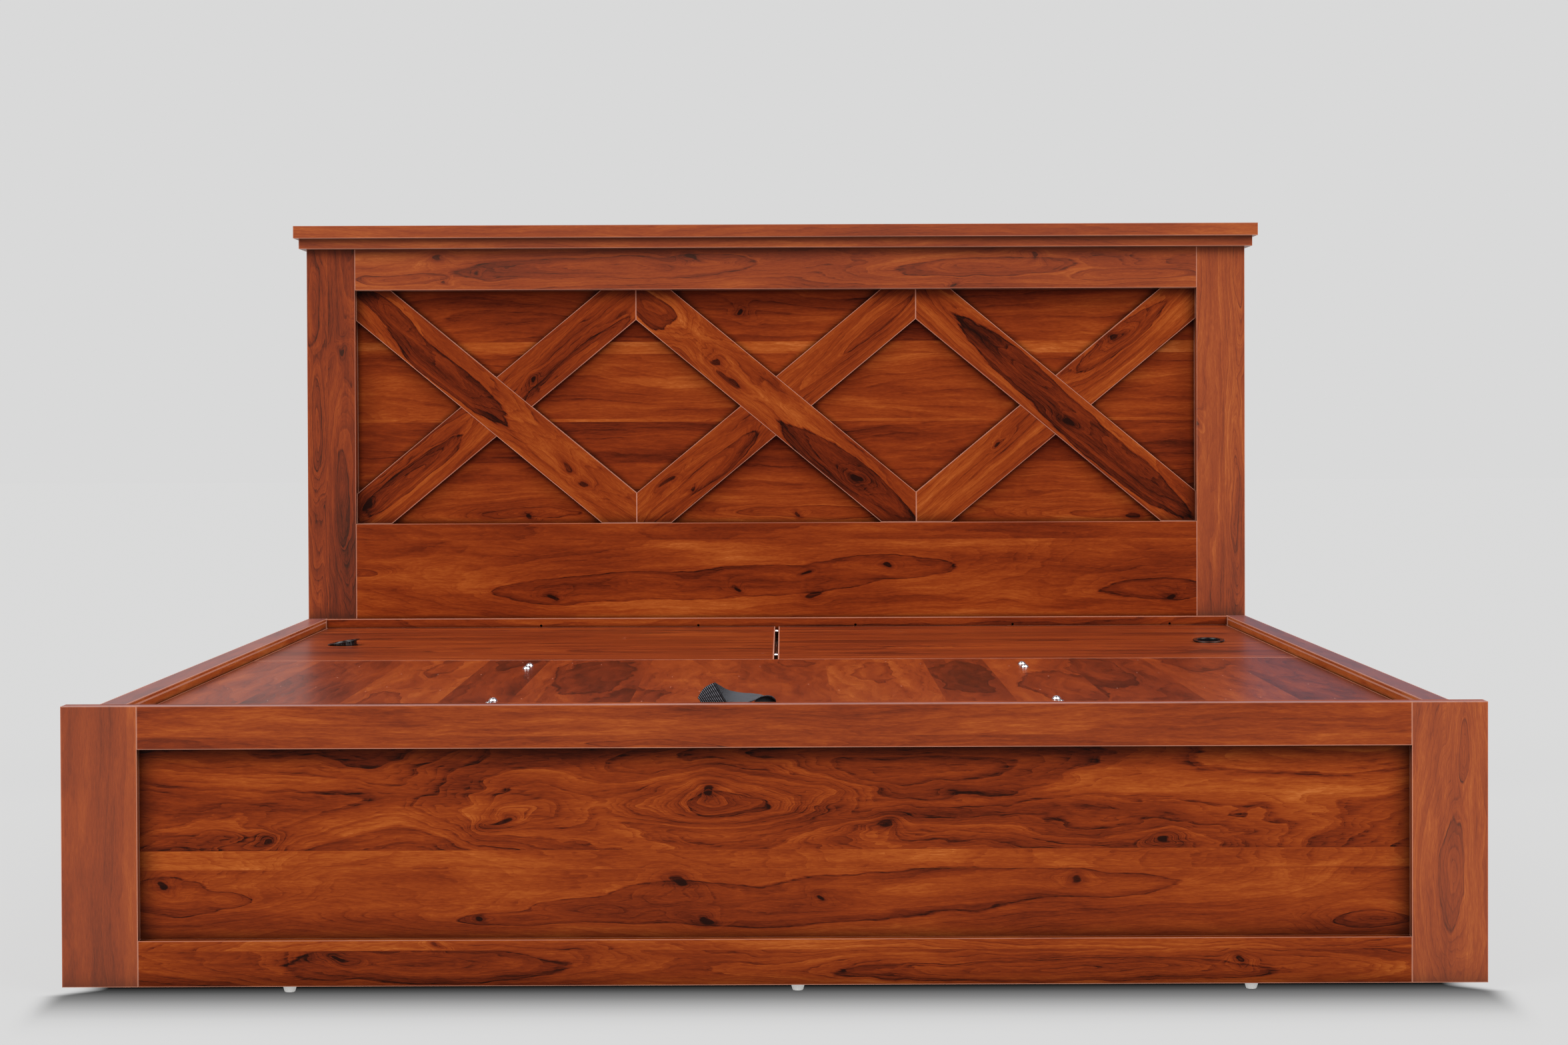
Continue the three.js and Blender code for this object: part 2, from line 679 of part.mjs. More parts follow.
// The angle under the lid, with the rear link's pin and a tab at the front link
function lidBracket(side) {
  const flangeTop = platformUnder;
  const webTop = flangeTop - flangeThickness;
  const flange = sideBox(side, flangeInner, bracketOuter, bracketFront, bracketBack, webTop, flangeTop);
  const webBottom = webTop - bracketDrop;
  const web = sideBox(side, bracketInner, bracketOuter, bracketFront, bracketBack, webBottom, webTop);
  const [tabY, tabZ] = liftPoint(frontPivotLid);
  const tabTop = webTop - bracketDrop;
  const tab = outline([
    [tabY - 2 * bracketTabHalf, tabTop], [tabY - bracketTabHalf, tabZ - bracketTabReach],
    [tabY + bracketTabHalf, tabZ - bracketTabReach], [tabY + 2 * bracketTabHalf, tabTop],
  ]);
  const below = webTop - flangeThickness;
  const above = flangeTop + flangeThickness;
  const holes = boltYs().map((y) => barZ(below, above, side * boltX, y, boltHoleRadius));
  const pinHead = rearLinkOuter + pinHeadGap;
  const whole = joined([
    flange,
    web,
    plateYZ(tab, side * bracketInner, side * bracketOuter),
    pin(side, bracketOuter, pinHead, rearPivotLid, pinRadius),
    pin(side, pinHead, pinHead + pinHeadThickness, rearPivotLid, pinHeadRadius),
  ]);
  return cut(whole, holes);
}

function rearLink(side) {
  const ends = [liftPoint(rearPivotBase), liftPoint(rearPivotLid)];
  const shape = barOutline(ends, linkHalf);
  for (const [y, z] of ends) roundHole(shape, y, z, pinHoleRadius);
  return plateYZ(shape, side * rearLinkInner, side * rearLinkOuter);
}

// The long bent link: it runs on the base pin, pushes the lid's tab and takes the strut's upper pin
function frontLink(side) {
  const points = [frontPivotBase, strutPivotLink, frontPivotLid].map(liftPoint);
  const shape = barOutline(points, linkHalf);
  roundHole(shape, points[0][0], points[0][1], pinHoleRadius);
  const outerEnd = frontLinkOuter + layerGap - pinHeadGap;
  return joined([
    plateYZ(shape, side * frontLinkInner, side * frontLinkOuter),
    pin(side, frontLinkOuter, outerEnd, frontPivotLid, pinHeadRadius),
    pin(side, frontLinkInner, frontLinkInner - pinHeadThickness, frontPivotLid, pinHeadRadius),
    pin(side, frontLinkInner, strutX - eyeHalf - strutPinEnd, strutPivotLink, strutPinRadius),
  ]);
}

// Places a strut piece drawn along Z from its lower eye
function alongStrut(side, geometry) {
  const [y0, z0] = liftPoint(strutPivotBase);
  const [y1, z1] = liftPoint(strutPivotLink);
  const lean = Math.atan2(y1 - y0, z1 - z0);
  return geometry.rotateX(-lean).translate(side * strutX, y0, z0);
}

function strutLength() {
  const dy = strutPivotLink[0] - strutPivotBase[0];
  const dz = strutPivotLink[1] - strutPivotBase[1];
  return Math.hypot(dy, dz);
}

// A flat eye with its hole along X
function eye(z, holeRadius) {
  const shape = new THREE.Shape(circle(0, z, eyeRadius));
  roundHole(shape, 0, z, holeRadius);
  return plateYZ(shape, -eyeHalf, eyeHalf);
}

function gasCylinder(side) {
  const neck = eyeRadius - eyeNeck;
  const tube = turned([
    [0, neck], [eyeHalf, neck], [eyeHalf, cylinderStart], [cylinderRadius, cylinderStart],
    [cylinderRadius, cylinderLength], [cylinderBoreRadius, cylinderLength],
    [cylinderBoreRadius, cylinderBoreStart], [0, cylinderBoreStart],
  ]);
  return alongStrut(side, joined([tube, eye(0, cylinderEyeHoleRadius)]));
}

function gasRod(side) {
  const top = strutLength();
  const end = top - eyeRadius + eyeNeck;
  const rod = turned([[0, rodStart], [rodRadius, rodStart], [rodRadius, end], [0, end]]);
  return alongStrut(side, joined([rod, eye(top, rodEyeHoleRadius)]));
}

// Webbing between two edge curves, with a constant thickness
function ribbon(nearEdge, farEdge, thickness, stations) {
  const positions = [];
  const corners = [];
  const place = (curve, k) => curve.getPoint(Math.min(Math.max(k / stations, 0), 1));
  for (let k = 0; k <= stations; k++) {
    const a = place(nearEdge, k);
    const b = place(farEdge, k);
    const before = place(nearEdge, k - 1).add(place(farEdge, k - 1));
    const along = place(nearEdge, k + 1).add(place(farEdge, k + 1)).sub(before);
    const normal = along.cross(b.clone().sub(a)).normalize().multiplyScalar(thickness / 2);
    const upper = [a.clone().add(normal), b.clone().add(normal)];
    const lower = [b.clone().sub(normal), a.clone().sub(normal)];
    corners.push([...upper, ...lower]);
  }
  const triangle = (p, q, r) => positions.push(...p.toArray(), ...q.toArray(), ...r.toArray());
  for (let k = 0; k < stations; k++)
    for (let side = 0; side < 4; side++) {
      const next = (side + 1) % 4;
      triangle(corners[k][side], corners[k + 1][side], corners[k + 1][next]);
      triangle(corners[k][side], corners[k + 1][next], corners[k][next]);
    }
  const [first, last] = [corners[0], corners[stations]];
  triangle(first[0], first[1], first[2]);
  triangle(first[0], first[2], first[3]);
  triangle(last[0], last[2], last[1]);
  triangle(last[0], last[3], last[2]);
  return new THREE.BufferGeometry().setAttribute("position", new THREE.Float32BufferAttribute(positions, 3));
}

// The pull strap rises from under the lid's front edge, folds over and goes back down
function addStrap() {
  const curve = (shares) =>
    new THREE.CatmullRomCurve3(
      shares.map(([x, y, z]) => new THREE.Vector3(x, y, z).multiplyScalar(strapReach)),
      false,
      "centripetal",
    );
  const geometry = ribbon(curve(strapNearEdgeShares), curve(strapFarEdgeShares), strapThickness, strapStations);
  add("pull_strap", geometry.translate(0, lidFront, platformTop), webbing);
}

addHeadboard();
addBraces();
addFootboard();
addSides();
addStorageBox();
addGlides();
addLid();
addRearPanels();
addRings();
addStrap();
addBolts();
addGapScrews();
addMechanism();

export default group;
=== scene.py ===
# %% [markdown]
# # Dressing an ottoman bed
# This file takes a bed that is already built as a rigid model and gives it its looks. Every measure is in metres:
# X runs to the right seen from the foot end, Y towards the headboard and Z up, with the floor at zero.
# The model's boards stay exactly as they are. They get materials here, and the few small things that a rigid model
# shows too plainly (bolt heads, finger rings, the pull strap, the glides) are made again in finer form.

# %% Load the bed
import math

import bmesh
import bpy
from mathutils import Matrix, Vector


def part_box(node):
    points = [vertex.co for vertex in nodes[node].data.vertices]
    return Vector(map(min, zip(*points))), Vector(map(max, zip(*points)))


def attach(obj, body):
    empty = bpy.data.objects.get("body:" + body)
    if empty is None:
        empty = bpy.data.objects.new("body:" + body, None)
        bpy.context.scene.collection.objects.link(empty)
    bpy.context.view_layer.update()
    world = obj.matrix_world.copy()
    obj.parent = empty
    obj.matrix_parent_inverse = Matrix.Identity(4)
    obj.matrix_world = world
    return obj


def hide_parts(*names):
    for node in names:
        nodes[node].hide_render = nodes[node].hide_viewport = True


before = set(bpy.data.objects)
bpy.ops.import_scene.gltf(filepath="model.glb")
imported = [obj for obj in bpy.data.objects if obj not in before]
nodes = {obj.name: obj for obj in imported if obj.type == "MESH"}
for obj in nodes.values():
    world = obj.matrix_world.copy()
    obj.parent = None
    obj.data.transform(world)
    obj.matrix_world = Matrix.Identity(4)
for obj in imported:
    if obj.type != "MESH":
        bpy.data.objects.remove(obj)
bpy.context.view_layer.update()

# %% [markdown]
# ## The camera
# The photograph was taken with a long lens from just in front of the foot end, about 0.8 m above the floor, looking
# almost level. A camera could be aimed by hand until it looks right. Here its place and focal length were worked out
# from the bed's known straight edges, so the boards fall where they do in the photograph.

# %% Camera
FRAME_WIDTH, FRAME_HEIGHT = 2352, 1568
SENSOR_WIDTH = 36.0
LENS_PIXELS = 4818.76
PRINCIPAL_Y = 711.16
CAMERA_PLACE = (0.01365, -5.58139, 0.7991)
YAW, PITCH, ROLL = 0.0003, 0.01538, 0.00362
camera_data = bpy.data.cameras.new("camera")
camera_data.sensor_width = SENSOR_WIDTH
camera_data.lens = SENSOR_WIDTH * LENS_PIXELS / FRAME_WIDTH
camera_data.shift_y = (PRINCIPAL_Y - FRAME_HEIGHT / 2) / FRAME_WIDTH
camera_data.clip_end = 100
camera = bpy.data.objects.new("camera", camera_data)
bpy.context.scene.collection.objects.link(camera)
camera.location = CAMERA_PLACE
camera.rotation_euler = (
    Matrix.Rotation(-YAW, 3, "Z") @ Matrix.Rotation(math.radians(90) - PITCH, 3, "X") @ Matrix.Rotation(-ROLL, 3, "Z")
).to_euler()
bpy.context.scene.camera = camera
print(f"lens {camera_data.lens:.2f} mm, shift {camera_data.shift_y:.4f}")

# %% [markdown]
# ## Maths on sockets
# A material is a graph of nodes, and a graph is hard to read as code. A small class wraps one output socket, so that
# `1 - mask * 0.5` in Python adds the Math nodes that do it. Anything that isn't plain maths comes from `node`, which
# sets the node's own settings first and then its sockets.

# %% Sockets as numbers
class Wire:
    """One output socket of a node tree."""

    def __init__(self, tree, socket=None):
        self.tree = tree
        self.socket = socket

    def node(self, kind, settings=None, sockets=None, out=0):
        made = self.tree.nodes.new(kind)
        for name, value in (settings or {}).items():
            if name == "stops":
                set_stops(made.color_ramp, value)
            else:
                setattr(made, name, value)
        for name, value in (sockets or {}).items():
            if isinstance(value, Wire):
                self.tree.links.new(value.socket, made.inputs[name])
            else:
                made.inputs[name].default_value = value
        return Wire(self.tree, made.outputs[out])

    def maths(self, operation, *others):
        values = (self,) + others
        return self.node("ShaderNodeMath", {"operation": operation}, dict(enumerate(values)))

    def __add__(self, other):
        return self.maths("ADD", other)

    def __mul__(self, other):
        return self.maths("MULTIPLY", other)

    def __sub__(self, other):
        return self.maths("SUBTRACT", other)

    def __truediv__(self, other):
        return self.maths("DIVIDE", other)

    def __rsub__(self, other):
        return self.node("ShaderNodeMath", {"operation": "SUBTRACT"}, {0: other, 1: self})

    __radd__ = __add__
    __rmul__ = __mul__

    def clamped(self):
        return self.maths("MAXIMUM", 0.0).maths("MINIMUM", 1.0)

    def rise(self, start, end):
        """0 below start, 1 above end, smooth in between."""
        return self.node(
            "ShaderNodeMapRange",
            {"interpolation_type": "SMOOTHSTEP"},
            {"Value": self, "From Min": start, "From Max": end, "To Min": 0.0, "To Max": 1.0},
        )

    def dot(self, direction):
        return self.node("ShaderNodeVectorMath", {"operation": "DOT_PRODUCT"}, {0: self, 1: direction}, out="Value")

    def blend(self, first, second):
        """The colour first where this is 0 and second where it is 1."""
        sockets = {0: self, 6: first, 7: second}
        return self.node("ShaderNodeMix", {"data_type": "RGBA"}, sockets, out=2)


def set_stops(ramp, stops):
    while len(ramp.elements) > 1:
        ramp.elements.remove(ramp.elements[-1])
    ramp.elements[0].position = stops[0][0]
    ramp.elements[0].color = stops[0][1]
    for position, colour in stops[1:]:
        ramp.elements.new(position).color = colour


def srgb(red, green, blue, gain=1.0):
    """A colour as it is read off a screen, 0 to 255, as the linear light that Blender works in."""
    values = [c / 255 for c in (red, green, blue)]
    linear = [c / 12.92 if c <= 0.04045 else ((c + 0.055) / 1.055) ** 2.4 for c in values]
    return tuple(c * gain for c in linear) + (1.0,)


def material(name):
    """A new material with its tree, its surface shader and a wire to start from."""
    made = bpy.data.materials.new(name)
    made.use_nodes = True
    tree = made.node_tree
    return made, tree.nodes["Principled BSDF"], Wire(tree)


def feed(shader, **sockets):
    for name, value in sockets.items():
        socket = shader.inputs[name.replace("_", " ")]
        if isinstance(value, Wire):
            value.tree.links.new(value.socket, socket)
        else:
            socket.default_value = value


def dress(node, finish):
    slots = nodes[node].data.materials
    slots.clear()
    slots.append(finish)


print("socket maths ready")

# %% [markdown]
# ## The laminate's figure
# The boards are faced with a printed laminate that imitates a red-brown Indian hardwood. What the eye reads in it is,
# from coarse to fine: planks of different tone side by side, dark heartwood tongues with a thin black outline, growth
# lines that sway and bend round the tongues, knots, long soft streaks, and short fine pores. An image of wood would be
# the quick way. Here each is a few nodes of stretched noise, because noise has no edge where it repeats, and because
# the tongues and knots can then be put where the photograph shows them.
#
# Each board is given the direction its grain runs along and the direction across it. The figure lives in those two
# coordinates, so a stile's grain stands upright, a rail's lies level and a brace's runs along the brace.

# %% Noise and ovals
WOOD = [
    (0.00, (34, 13, 8)),
    (0.16, (66, 23, 10)),
    (0.34, (98, 35, 14)),
    (0.52, (124, 48, 17)),
    (0.68, (142, 61, 21)),
    (0.84, (162, 80, 30)),
    (1.00, (184, 104, 50)),
]
WOOD_GAIN = 1.12
# The pale tone of edge bands and specks, also used for the sheen painted over some boards.
PALE_WEAR_AND_SHEEN = (196, 140, 118)
TOP_SHEEN = (168, 146, 152)
CORNER_SHADE = (12, 5, 3)
# Each noise field's cycles per metre along and across the grain, its detail and its roughness.
FIELDS = {
    "sway": (4.0, 12.0, 3.0, 0.55),
    "swell": (1.5, 7.0, 1.0, 0.5),
    "drift": (3.0, 24.0, 4.0, 0.6),
    "jag": (16.0, 60.0, 3.0, 0.6),
    "streak": (5.0, 170.0, 4.0, 0.66),
    "fleck": (26.0, 240.0, 3.0, 0.62),
    "fine": (90.0, 800.0, 2.0, 0.6),
}
SWAY_STRETCH = 6.0
PLANK_SEAM = 0.0004
PLANK_DEPTH = 7.3


def stretched_noise(field, u, v, depth, out=0):
    """One noise field, its cells stretched along the grain. Boards differ by their depth in the noise."""
    scale_u, scale_v, detail, roughness = FIELDS[field]
    vector = u.node("ShaderNodeCombineXYZ", None, {0: u * scale_u, 1: v * scale_v, 2: depth})
    sockets = {"Vector": vector, "Scale": 1.0, "Detail": detail, "Roughness": roughness}
    return u.node("ShaderNodeTexNoise", {"noise_dimensions": "3D"}, sockets, out)


def oval(u, v, centre, half_length, half_width, slope=0.0):
    """1 in the middle of a long oval, 0 on its outline and negative outside."""
    du = (u - centre[0]) / half_length
    dv = (v - centre[1] - (u - centre[0]) * slope) / half_width
    return 1 - (du * du + dv * dv).maths("SQRT")


def highest(values, blend=0.0):
    """The highest of some values, with a soft change from one to the next where blend is above 0."""
    top = values[0]
    for value in values[1:]:
        top = top.maths("SMOOTH_MAX", value, blend) if blend else top.maths("MAXIMUM", value)
    return top


print("wood in", len(WOOD), "tones and", len(FIELDS), "noise fields")


# %% Growth lines, hearts and knots
def figure(u, v, depth, hearts, knots, patches, swirls, pitch, wave):
    """The noise fields and the drawn features that the laminate's tone is mixed from. One field, rings, counts
    growth lines: it rises by 1 from line to line, and each heart, swirl or knot lifts it, so the lines go round it."""
    sway = stretched_noise("sway", u, v, depth, "Color")
    sway = [sway.dot(axis) - 0.5 for axis in ((1, 0, 0), (0, 1, 0))]
    swayed_u, swayed_v = u + sway[0] * wave * SWAY_STRETCH, v + sway[1] * wave
    fields = {name: stretched_noise(name, swayed_u, swayed_v, depth) for name in ("swell", "drift")}
    fields |= {name: stretched_noise(name, u, swayed_v, depth) for name in ("streak", "fleck")}
    fields |= {name: stretched_noise(name, u, v, depth) for name in ("jag", "fine")}
    jag = fields["jag"] = fields["jag"] - 0.5

    def bend(value, rate):
        return (value - sway[1] * 0.6).maths("SMOOTH_MAX", -3.0, 1.5) * rate

    rings = swayed_v / pitch + fields["swell"] * 9.0 + jag * 0.30
    if hearts:
        ovals = [oval(swayed_u, swayed_v, *heart) for heart in hearts]
        fields["heart"] = highest(ovals, 0.6) + jag * 0.26
        rings = rings + bend(fields["heart"], 3.3)
    if swirls:
        rings = rings + bend(highest([oval(swayed_u, swayed_v, *swirl) for swirl in swirls], 0.6), 1.9)
    if knots:
        spots = highest([oval(swayed_u, v, place, size * 1.25, size * 0.85) for place, size in knots])
        fields["knot"] = spots + jag * 1.0
        around = (spots * 0.18 + 0.82).maths("MAXIMUM", 0.0)
        rings = rings + around * around * 4.0
    if patches:
        ovals = [oval(swayed_u, swayed_v, *patch[:3]).rise(-0.3, 0.7) * patch[3] for patch in patches]
        fields["patch"] = sum(ovals[1:], ovals[0])
    fields["rings"] = rings
    return fields


def wood_tone(fields, tone, plank_tone, lines, rough_grain, dark):
    """0 for black-brown heartwood outlines, up to 1 for the lightest sapwood."""
    drift, streak, fleck = fields["drift"], fields["streak"], fields["fleck"]
    rings, jag = fields["rings"], fields["jag"]
    shade = (fields["swell"] - 0.5) * 0.3 + (drift - 0.5) * 0.9 + (streak - 0.5) * rough_grain * 0.5
    shade = shade + tone + (fleck - 0.5) * rough_grain * 0.7 + (fields["fine"] - 0.5) * 0.36 + jag * 0.12
    if plank_tone is not None:
        shade = shade + plank_tone
    # Growth lines: a sharp band and a broad one that each darken slowly and end at once, and thin threads.
    saw, second = rings.maths("FRACT"), (rings * 0.37 + 0.2).maths("FRACT")
    band = saw.maths("POWER", 7.0) * (1 - (saw - 0.96).maths("MAXIMUM", 0.0) * 25.0)
    broad = (second - 0.5) * (1 - (second - 0.82).maths("MAXIMUM", 0.0) * 5.5)
    thread = (rings * 3.0 + 0.3).maths("FRACT").maths("POWER", 3.0)
    broken = fleck.rise(0.40, 0.60)
    strong = (drift + jag * 0.3).rise(0.62, 0.38) * 0.7 + 0.3
    shade = shade - band * strong * (broken * 0.75 + 0.25) * lines - thread * broken * lines * 0.32
    shade = shade - broad * (lines * 0.4) - (saw - 0.5) * (lines * 0.12)
    shade = shade - fleck.rise(0.56, 0.70) * strong * lines * 0.42
    if "heart" in fields:
        heart = fields["heart"]
        inside, rim = heart.rise(-0.01, 0.03), 1 - (heart.maths("ABSOLUTE") / 0.05).clamped()
        margin = 1 - heart.rise(0.0, 0.35)
        shade = shade - inside * (margin * 0.13 + dark) - rim * (broken * 0.32 + 0.14)
    if "knot" in fields:
        knot = fields["knot"]
        shade = shade - knot.rise(-1.6, 0.2) * 0.16 - knot.rise(0.0, 0.4) * 0.36
    return shade + fields["patch"] if "patch" in fields else shade


print("figure ready")


# %% Edges and the finished laminate
def edge_lines(wire, node, place, facing, width):
    """1 within the given width of the board's own edges, on each face, and 0 elsewhere."""
    low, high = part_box(node)
    masks = []
    for axis in range(3):
        unit = [1.0 if i == axis else 0.0 for i in range(3)]
        middle, half = (low[axis] + high[axis]) / 2, (high[axis] - low[axis]) / 2
        inside = half - (place.dot(unit) - middle).maths("ABSOLUTE")
        sideways = facing.dot(unit).maths("ABSOLUTE").rise(0.3, 0.7)
        masks.append((1 - inside.rise(width * 0.7, width * 1.3)) * (1 - sideways))
    return highest(masks)


def dust_specks(u, v, share):
    """1 on fine specks, in the given share of the noise's cells."""
    cell = {"Vector": u.node("ShaderNodeCombineXYZ", None, {0: u * 4.0, 1: v * 13.0}), "Scale": 1.0}
    cells = {"voronoi_dimensions": "2D"}
    near, tint = (u.node("ShaderNodeTexVoronoi", cells, cell, out) for out in ("Distance", "Color"))
    return (1 - near.rise(0.010, 0.018)) * tint.dot((1, 0, 0)).rise(1 - share, 1.01 - share)


def laminate(
    node, along, across, face, planks=(), hearts=(), knots=(), patches=(), swirls=(), tone=0.5, seed=0.0,
    lines=0.42, edge=0.0009, pale=0.7, rough=0.3, painted_sheen=0.0, gloss=0.06, pitch=0.024, grain=0.6, wave=0.036,
    shade_reach=0.034, dark=0.08, top_sheen=0.0, painted_face_light=(), pale_lines=(), dust=0.0, lying=False,
):
    """A laminate for one board, whose grain runs along one direction and whose face is at the given place.

    The figure: planks are (start across the grain, tone, added strength of lines). On the board's face, in
    millimetres, hearts and swirls are (x, z, half length, half width, slope), knots (x, z, radius) and patches (x, z,
    half length, half width, tone), with y in place of z on a board that is lying. Pitch is the space between growth
    lines, wave how far they sway, lines how dark they are, grain how strong the streaks are and dark the tone inside
    the hearts.
    The wear and the painted light: edge is the width of the pale edges, pale their strength, dust the share of
    specks, and wash a pale sheen painted evenly over the whole board. painted_face_light are (direction, tone) pairs of
    painted light that shift the tone of faces turned that way, and pale_lines (direction, place) adds to the box's
    edges. shade_reach is how far the painted shade in corners and recesses reaches, and top_sheen a pale sheen
    painted on faces that look up."""
    made, shader, wire = material("laminate_" + node)
    place = wire.node("ShaderNodeTexCoord", out="Object")
    along, across, face = Vector(along), Vector(across), Vector(face)
    u, v = place.dot(along), place.dot(across) - across.dot(face)

    def on_board(x, other, *form):
        point = Vector((x / 1000, other / 1000, face[2]) if lying else (x / 1000, face[1], other / 1000))
        spot = point.dot(along), point.dot(across) - across.dot(face)
        return spot, *(size / 1000 for size in form[:2]), *form[2:]

    depth, plank_tone = u * 0.0 + seed, None
    for start, shift, *busy in planks:
        mask = v.rise(start - PLANK_SEAM, start + PLANK_SEAM)
        depth = depth + mask * PLANK_DEPTH
        plank_tone = mask * shift if plank_tone is None else plank_tone + mask * shift
        lines = mask * busy[0] + lines if busy else lines
    drawn = [[on_board(*mark) for mark in marks] for marks in (hearts, knots, patches, swirls)]
    fields = figure(u, v, depth, *drawn, pitch, wave)
    facing = wire.node("ShaderNodeTexCoord", out="Normal")
    # Painted light: faces turned each given way get a lighter tone, as faces the light falls on.
    for way, shift in painted_face_light:
        tone = facing.dot(way).rise(0.3, 0.7) * shift + tone
    shade = wood_tone(fields, tone, plank_tone, lines, grain, dark)
    colour = wire.node("ShaderNodeValToRGB", {"stops": [(at, srgb(*c, WOOD_GAIN)) for at, c in WOOD]}, {0: shade})
    corner = wire.node("ShaderNodeAmbientOcclusion", {"samples": 6}, {"Distance": shade_reach}, out="AO")
    corner = corner.rise(0.42, 1.0) * 0.8 + 0.2
    colour = corner.blend(srgb(*CORNER_SHADE, WOOD_GAIN), colour)
    pale_overlay = [edge_lines(wire, node, place, facing, edge)]
    for way, at in pale_lines:
        pale_overlay.append((1 - ((place.dot(way) - at).maths("ABSOLUTE") / edge).rise(0.7, 1.3)))
    if top_sheen:
        sheen = facing.dot((0, 0, 1)).rise(0.5, 0.9) * (fields["streak"] + 0.5) * top_sheen
        colour = sheen.clamped().blend(colour, srgb(*TOP_SHEEN, WOOD_GAIN))
    # Pale edge bands and lines, plus wash, a sheen painted evenly over the whole board, then the dust specks, all mix
    # the colour towards one pale tone.
    pale_overlay = highest(pale_overlay) * (fields["drift"] * 0.9 + 0.35).clamped() * pale + painted_sheen
    if dust:
        pale_overlay = highest([pale_overlay, dust_specks(u, v, dust)])
    colour = pale_overlay.clamped().blend(colour, srgb(*PALE_WEAR_AND_SHEEN, WOOD_GAIN))

    feed(shader, Base_Color=colour, Roughness=(fields["streak"] - 0.5) * 0.12 + rough, IOR=1.45,
         Specular_IOR_Level=gloss)
    height = fields["fine"] * 0.5 + fields["streak"] * 0.5
    bump = wire.node("ShaderNodeBump", None, {"Strength": 0.05, "Distance": 0.0004, "Height": height})
    feed(shader, Normal=bump)
    dress(node, made)


print("laminate ready")

# %% [markdown]
# ## Headboard
# The headboard is a frame of two stiles and a rail, with a plain lower panel and, above it, three crossed braces in
# front of a recessed back panel. Each board is cut from a different part of the laminate, so each gets its own figure.

# %% Headboard frame and panels
LEVEL = (1, 0, 0)
UPRIGHT = (0, 0, 1)
FRONT_ACROSS = (0, 0.35, 1)
STILE_ACROSS = (1, 0.35, 0)
HEAD_Y = 0.974
BACK_PANEL_Y = 1.01
CAP_Y = 0.955

laminate(
    "headboard_top_rail", LEVEL, FRONT_ACROSS, (0, HEAD_Y, 0), seed=3.1, tone=0.63,
    painted_sheen=0.08, grain=0.45,
    hearts=[(-330, 1118, 300, 22, 0.03), (-130, 1135, 110, 18), (430, 1120, 200, 20, 0.05), (720, 1105, 120, 12),
            (-760, 1098, 100, 10)],
    knots=[(-695, 1143, 8), (-580, 1110, 4), (-160, 1143, 8), (515, 1145, 8), (365, 1082, 5), (-665, 1092, 5)],
)
laminate(
    "headboard_stile_left", UPRIGHT, STILE_ACROSS, (0, HEAD_Y, 0), seed=9.4, tone=0.6,
    painted_sheen=0.06, planks=[(-0.914, -0.15)], grain=0.5,
    hearts=[(-945, 1050, 100, 18), (-938, 800, 90, 10), (-884, 640, 100, 14)],
    knots=[(-885, 940, 6)], patches=[(-885, 560, 220, 30, -0.1)],
)
laminate(
    "headboard_stile_right", UPRIGHT, STILE_ACROSS, (0, HEAD_Y, 0), seed=14.2, tone=0.7,
    painted_sheen=0.1, planks=[(0.915, 0.01)], grain=0.5, hearts=[(942, 1120, 80, 10), (938, 640, 100, 8)],
    patches=[(942, 480, 300, 22, -0.13), (880, 470, 200, 40, -0.12)],
    knots=[(858, 800, 7)],
)
laminate(
    "headboard_lower_panel", LEVEL, FRONT_ACROSS, (0, HEAD_Y, 0), seed=21.7, tone=0.64,
    lines=0.22, dark=0.14, shade_reach=0.01, planks=[(0.565, -0.1)],
    hearts=[(-430, 462, 120, 26), (-250, 470, 200, 30), (0, 484, 200, 28), (225, 508, 160, 24), (780, 462, 110, 26),
            (-845, 497, 30, 8)],
    knots=[(-435, 447, 8), (-75, 462, 6), (100, 450, 9), (225, 512, 8), (70, 497, 5), (775, 445, 7), (-840, 495, 5)],
)
laminate(
    "headboard_back_panel", LEVEL, FRONT_ACROSS, (0, BACK_PANEL_Y, 0), seed=27.9,
    tone=0.68, shade_reach=0.014, lines=0.3,
    planks=[(0.665, -0.1), (0.722, -0.1), (0.806, 0.3), (0.812, -0.16), (0.945, 0.1), (0.97, -0.2)],
    # The first two patches are painted light: they lighten the back panel's top corners, which the rail and stiles
    # shade.
    patches=[(-740, 1025, 160, 50, 0.16), (740, 1010, 160, 60, 0.16), (-60, 720, 500, 40, -0.05)],
    hearts=[(-480, 615, 100, 12), (60, 618, 140, 12), (710, 616, 100, 10)],
    knots=[(-490, 612, 7), (55, 615, 7), (730, 610, 8), (-75, 1030, 8)],
)
for part, seed in (("headboard_moulding", 33.3), ("headboard_cap", 38.8)):
    laminate(part, LEVEL, (0, 1, 1), (0, CAP_Y, 0), seed=seed, tone=0.64, lines=0.25, painted_sheen=0.1)
print("headboard boards dressed")

